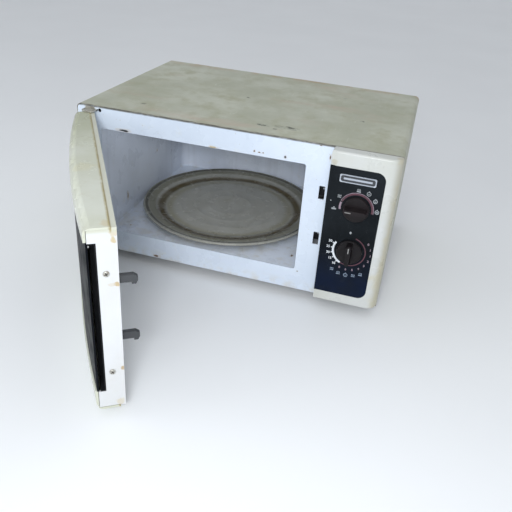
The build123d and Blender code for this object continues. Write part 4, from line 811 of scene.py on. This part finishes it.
def pressed_tray(shape):
    lathe(shape, above_tray_underside(tray_profile()), tray_centre, TRAY_STEPS)
    for turn in LUG_TURNS:
        middle = tray_centre + Vector((*polar(LUG_CIRCLE * MM, turn), 0))
        rings = lathe(shape, above_tray_underside(LUG_PROFILE), middle, LUG_STEPS)
        shape.faces.new(rings[0][::-1])


tray = piece("pressed_tray", pressed_tray, "tray", tray_paint.mat, smooth=True)
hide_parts("glass_tray")


# ---- Painted shade for the cross recesses in the screws, and a blank label on the back, with sizes in millimetres ---
CROSS_TURN = 0.5
CROSS_THICK = 0.08
CROSS_SINK = 0.09
DOOR_SCREW_ALONG = 346.08
DOOR_SCREW_INWARD = -4
DOOR_SCREW_HEIGHTS = (48.7, 170.0)
SAME_FACE = 0.02
HEAD_WIDTH = 10
LABEL_PLACE = (300, 60)
LABEL_THICK = 0.12
RULES_LIFT = 0.13
RULES_THICK = 0.04


def cross_recess_shade(name, centre, out, body, size):
    """A dark cross laid in the head of a screw that faces level outwards: painted shade standing in for its cross
    recess.
    """
    across = UP.cross(out).normalized()

    def build(shape):
        for turn in (CROSS_TURN, CROSS_TURN + math.pi / 2):
            first = across * math.cos(turn) + UP * math.sin(turn)
            second = UP * math.cos(turn) - across * math.sin(turn)
            slab(shape, rounded(size, size * 0.24, size * 0.1, 3), centre, first, second, CROSS_THICK)

    piece(name, build, body, slot_material["screw_recess"])


def heads_of(node, direction):
    """Middles of the separate outermost faces of a node in a direction."""
    spots = [vertex.co.copy() for vertex in frame["nodes"][node].data.vertices]
    far = max(spot.dot(direction) for spot in spots)
    groups = []
    for spot in spots:
        if spot.dot(direction) < far - SAME_FACE * MM:
            continue
        near = next((group for group in groups if (group[0] - spot).length < HEAD_WIDTH * MM), None)
        if near:
            near.append(spot)
        else:
            groups.append([spot])
    return [sum(group, Vector()) / len(group) for group in groups]


for index, height in enumerate(DOOR_SCREW_HEIGHTS):
    screw = door(DOOR_SCREW_ALONG, DOOR_SCREW_INWARD, height)
    cross_recess_shade(f"door_screw_cross_{index + 1}", screw, door_along, "door", 4.2)
for index, head in enumerate(heads_of("cover_screws", BACK)):
    cross_recess_shade(f"cover_screw_cross_{index + 1}", head - BACK * CROSS_SINK * MM, BACK, "cabinet", 4.0)

label_middle = cab(LABEL_PLACE[0], 0, LABEL_PLACE[1])
label_middle.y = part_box("rear_panel")[1].y


def rear_label(shape):
    """A blank rating label."""
    slab(shape, rounded(92, 46, 3, 5), label_middle, -ACROSS, UP, LABEL_THICK)


def label_rules(shape):
    """Ruled boxes on the label, left empty."""
    origin = label_middle + BACK * RULES_LIFT * MM
    for row in range(5):
        slab(shape, rounded(84, 0.5, 0.2, 2, (0, -17 + 8.5 * row)), origin, -ACROSS, UP, RULES_THICK)
    for column in (-42, 0, 42):
        slab(shape, rounded(0.5, 34.5, 0.2, 2, (column, 0)), origin, -ACROSS, UP, RULES_THICK)


piece("rear_label", rear_label, "cabinet", slot_material["label_foil"])
piece("rear_label_rules", label_rules, "cabinet", slot_material["label_ink"])


# ---- Camera, light and floor, with places in metres. The camera has the photograph's viewing angle. ------
LENS = 41.5418
SHIFT = (-0.021805, -0.041871)
CAMERA_PLACE = (0.237554, -0.717657, 0.496595)
YAW, PITCH, ROLL = (math.radians(turn) for turn in (13.81728, 28.66331, 4.87486))
SKY = (0.93, 0.96, 1.0, 1)
SKY_STRENGTH = 0.70
FLOOR_LEVEL = -0.0003
FLOOR_STEPS = 72
FLOOR_PROFILE = ((0, 0), (1, 0), (2, 0), (4, 0), (7, 0), (10, 0.3), (13, 1.6), (15, 4), (16, 8), (16.2, 14))

camera_data = bpy.data.cameras.new("camera")
camera_data.lens = LENS
camera_data.sensor_width = 36
camera_data.shift_x, camera_data.shift_y = SHIFT
camera = bpy.data.objects.new("camera", camera_data)
scene.collection.objects.link(camera)
forward = Vector((-math.sin(YAW) * math.cos(PITCH), math.cos(YAW) * math.cos(PITCH), -math.sin(PITCH)))
level = Vector((math.cos(YAW), math.sin(YAW), 0))
upright = level.cross(forward)
image_right = level * math.cos(ROLL) + upright * math.sin(ROLL)
image_up = upright * math.cos(ROLL) - level * math.sin(ROLL)
pose = Matrix((image_right, image_up, -forward)).transposed().to_4x4()
pose.translation = Vector(CAMERA_PLACE)
camera.matrix_world = pose
scene.camera = camera
scene.view_settings.view_transform = "Standard"

world = bpy.data.worlds.new("studio")
scene.world = world
world.use_nodes = True
world.node_tree.nodes["Background"].inputs["Color"].default_value = SKY
world.node_tree.nodes["Background"].inputs["Strength"].default_value = SKY_STRENGTH


def lamp(name, where, toward, size, energy, tint):
    data = bpy.data.lights.new(name, "AREA")
    data.shape = "RECTANGLE"
    data.size, data.size_y = size
    data.energy = energy
    data.color = tint
    light = bpy.data.objects.new(name, data)
    scene.collection.objects.link(light)
    light.location = where
    light.rotation_euler = (Vector(toward) - Vector(where)).to_track_quat("-Z", "Y").to_euler()


lamp("key", (0.3, -1.5, 1.1), (0, 0, 0.1), (1.0, 0.8), 7.5, (0.95, 0.98, 1.0))
lamp("flash", (0.22, -0.95, 0.60), (-0.03, 0.1, 0.1), (0.20, 0.14), 4.2, (0.93, 0.96, 1.0))
lamp("left_fill", (-1.5, -0.9, 0.7), (-0.1, -0.1, 0.1), (0.9, 0.9), 5, (0.9, 0.95, 1.0))


def floor_shape(shape):
    """A wide floor that curves up far behind the object on every side."""
    lathe(shape, [(radius, FLOOR_LEVEL + height) for radius, height in FLOOR_PROFILE], Vector(), FLOOR_STEPS)


floor_paint = Paint("floor", Specular_IOR_Level=0.2)
floor_paint.colour(floor_paint.mix(
    floor_paint.band(floor_paint.noise(2.0, 2), 0.3, 0.7), (0.86, 0.87, 0.88), (0.88, 0.89, 0.90)))
floor_paint.rough(floor_paint.band(floor_paint.noise(3.0, 2), 0.3, 0.7, 0.78, 0.86))
floor_mesh = mesh_from("floor", floor_shape)
floor_mesh.materials.append(floor_paint.mat)
floor_mesh.shade_smooth()
floor = bpy.data.objects.new("floor", floor_mesh)
scene.collection.objects.link(floor)
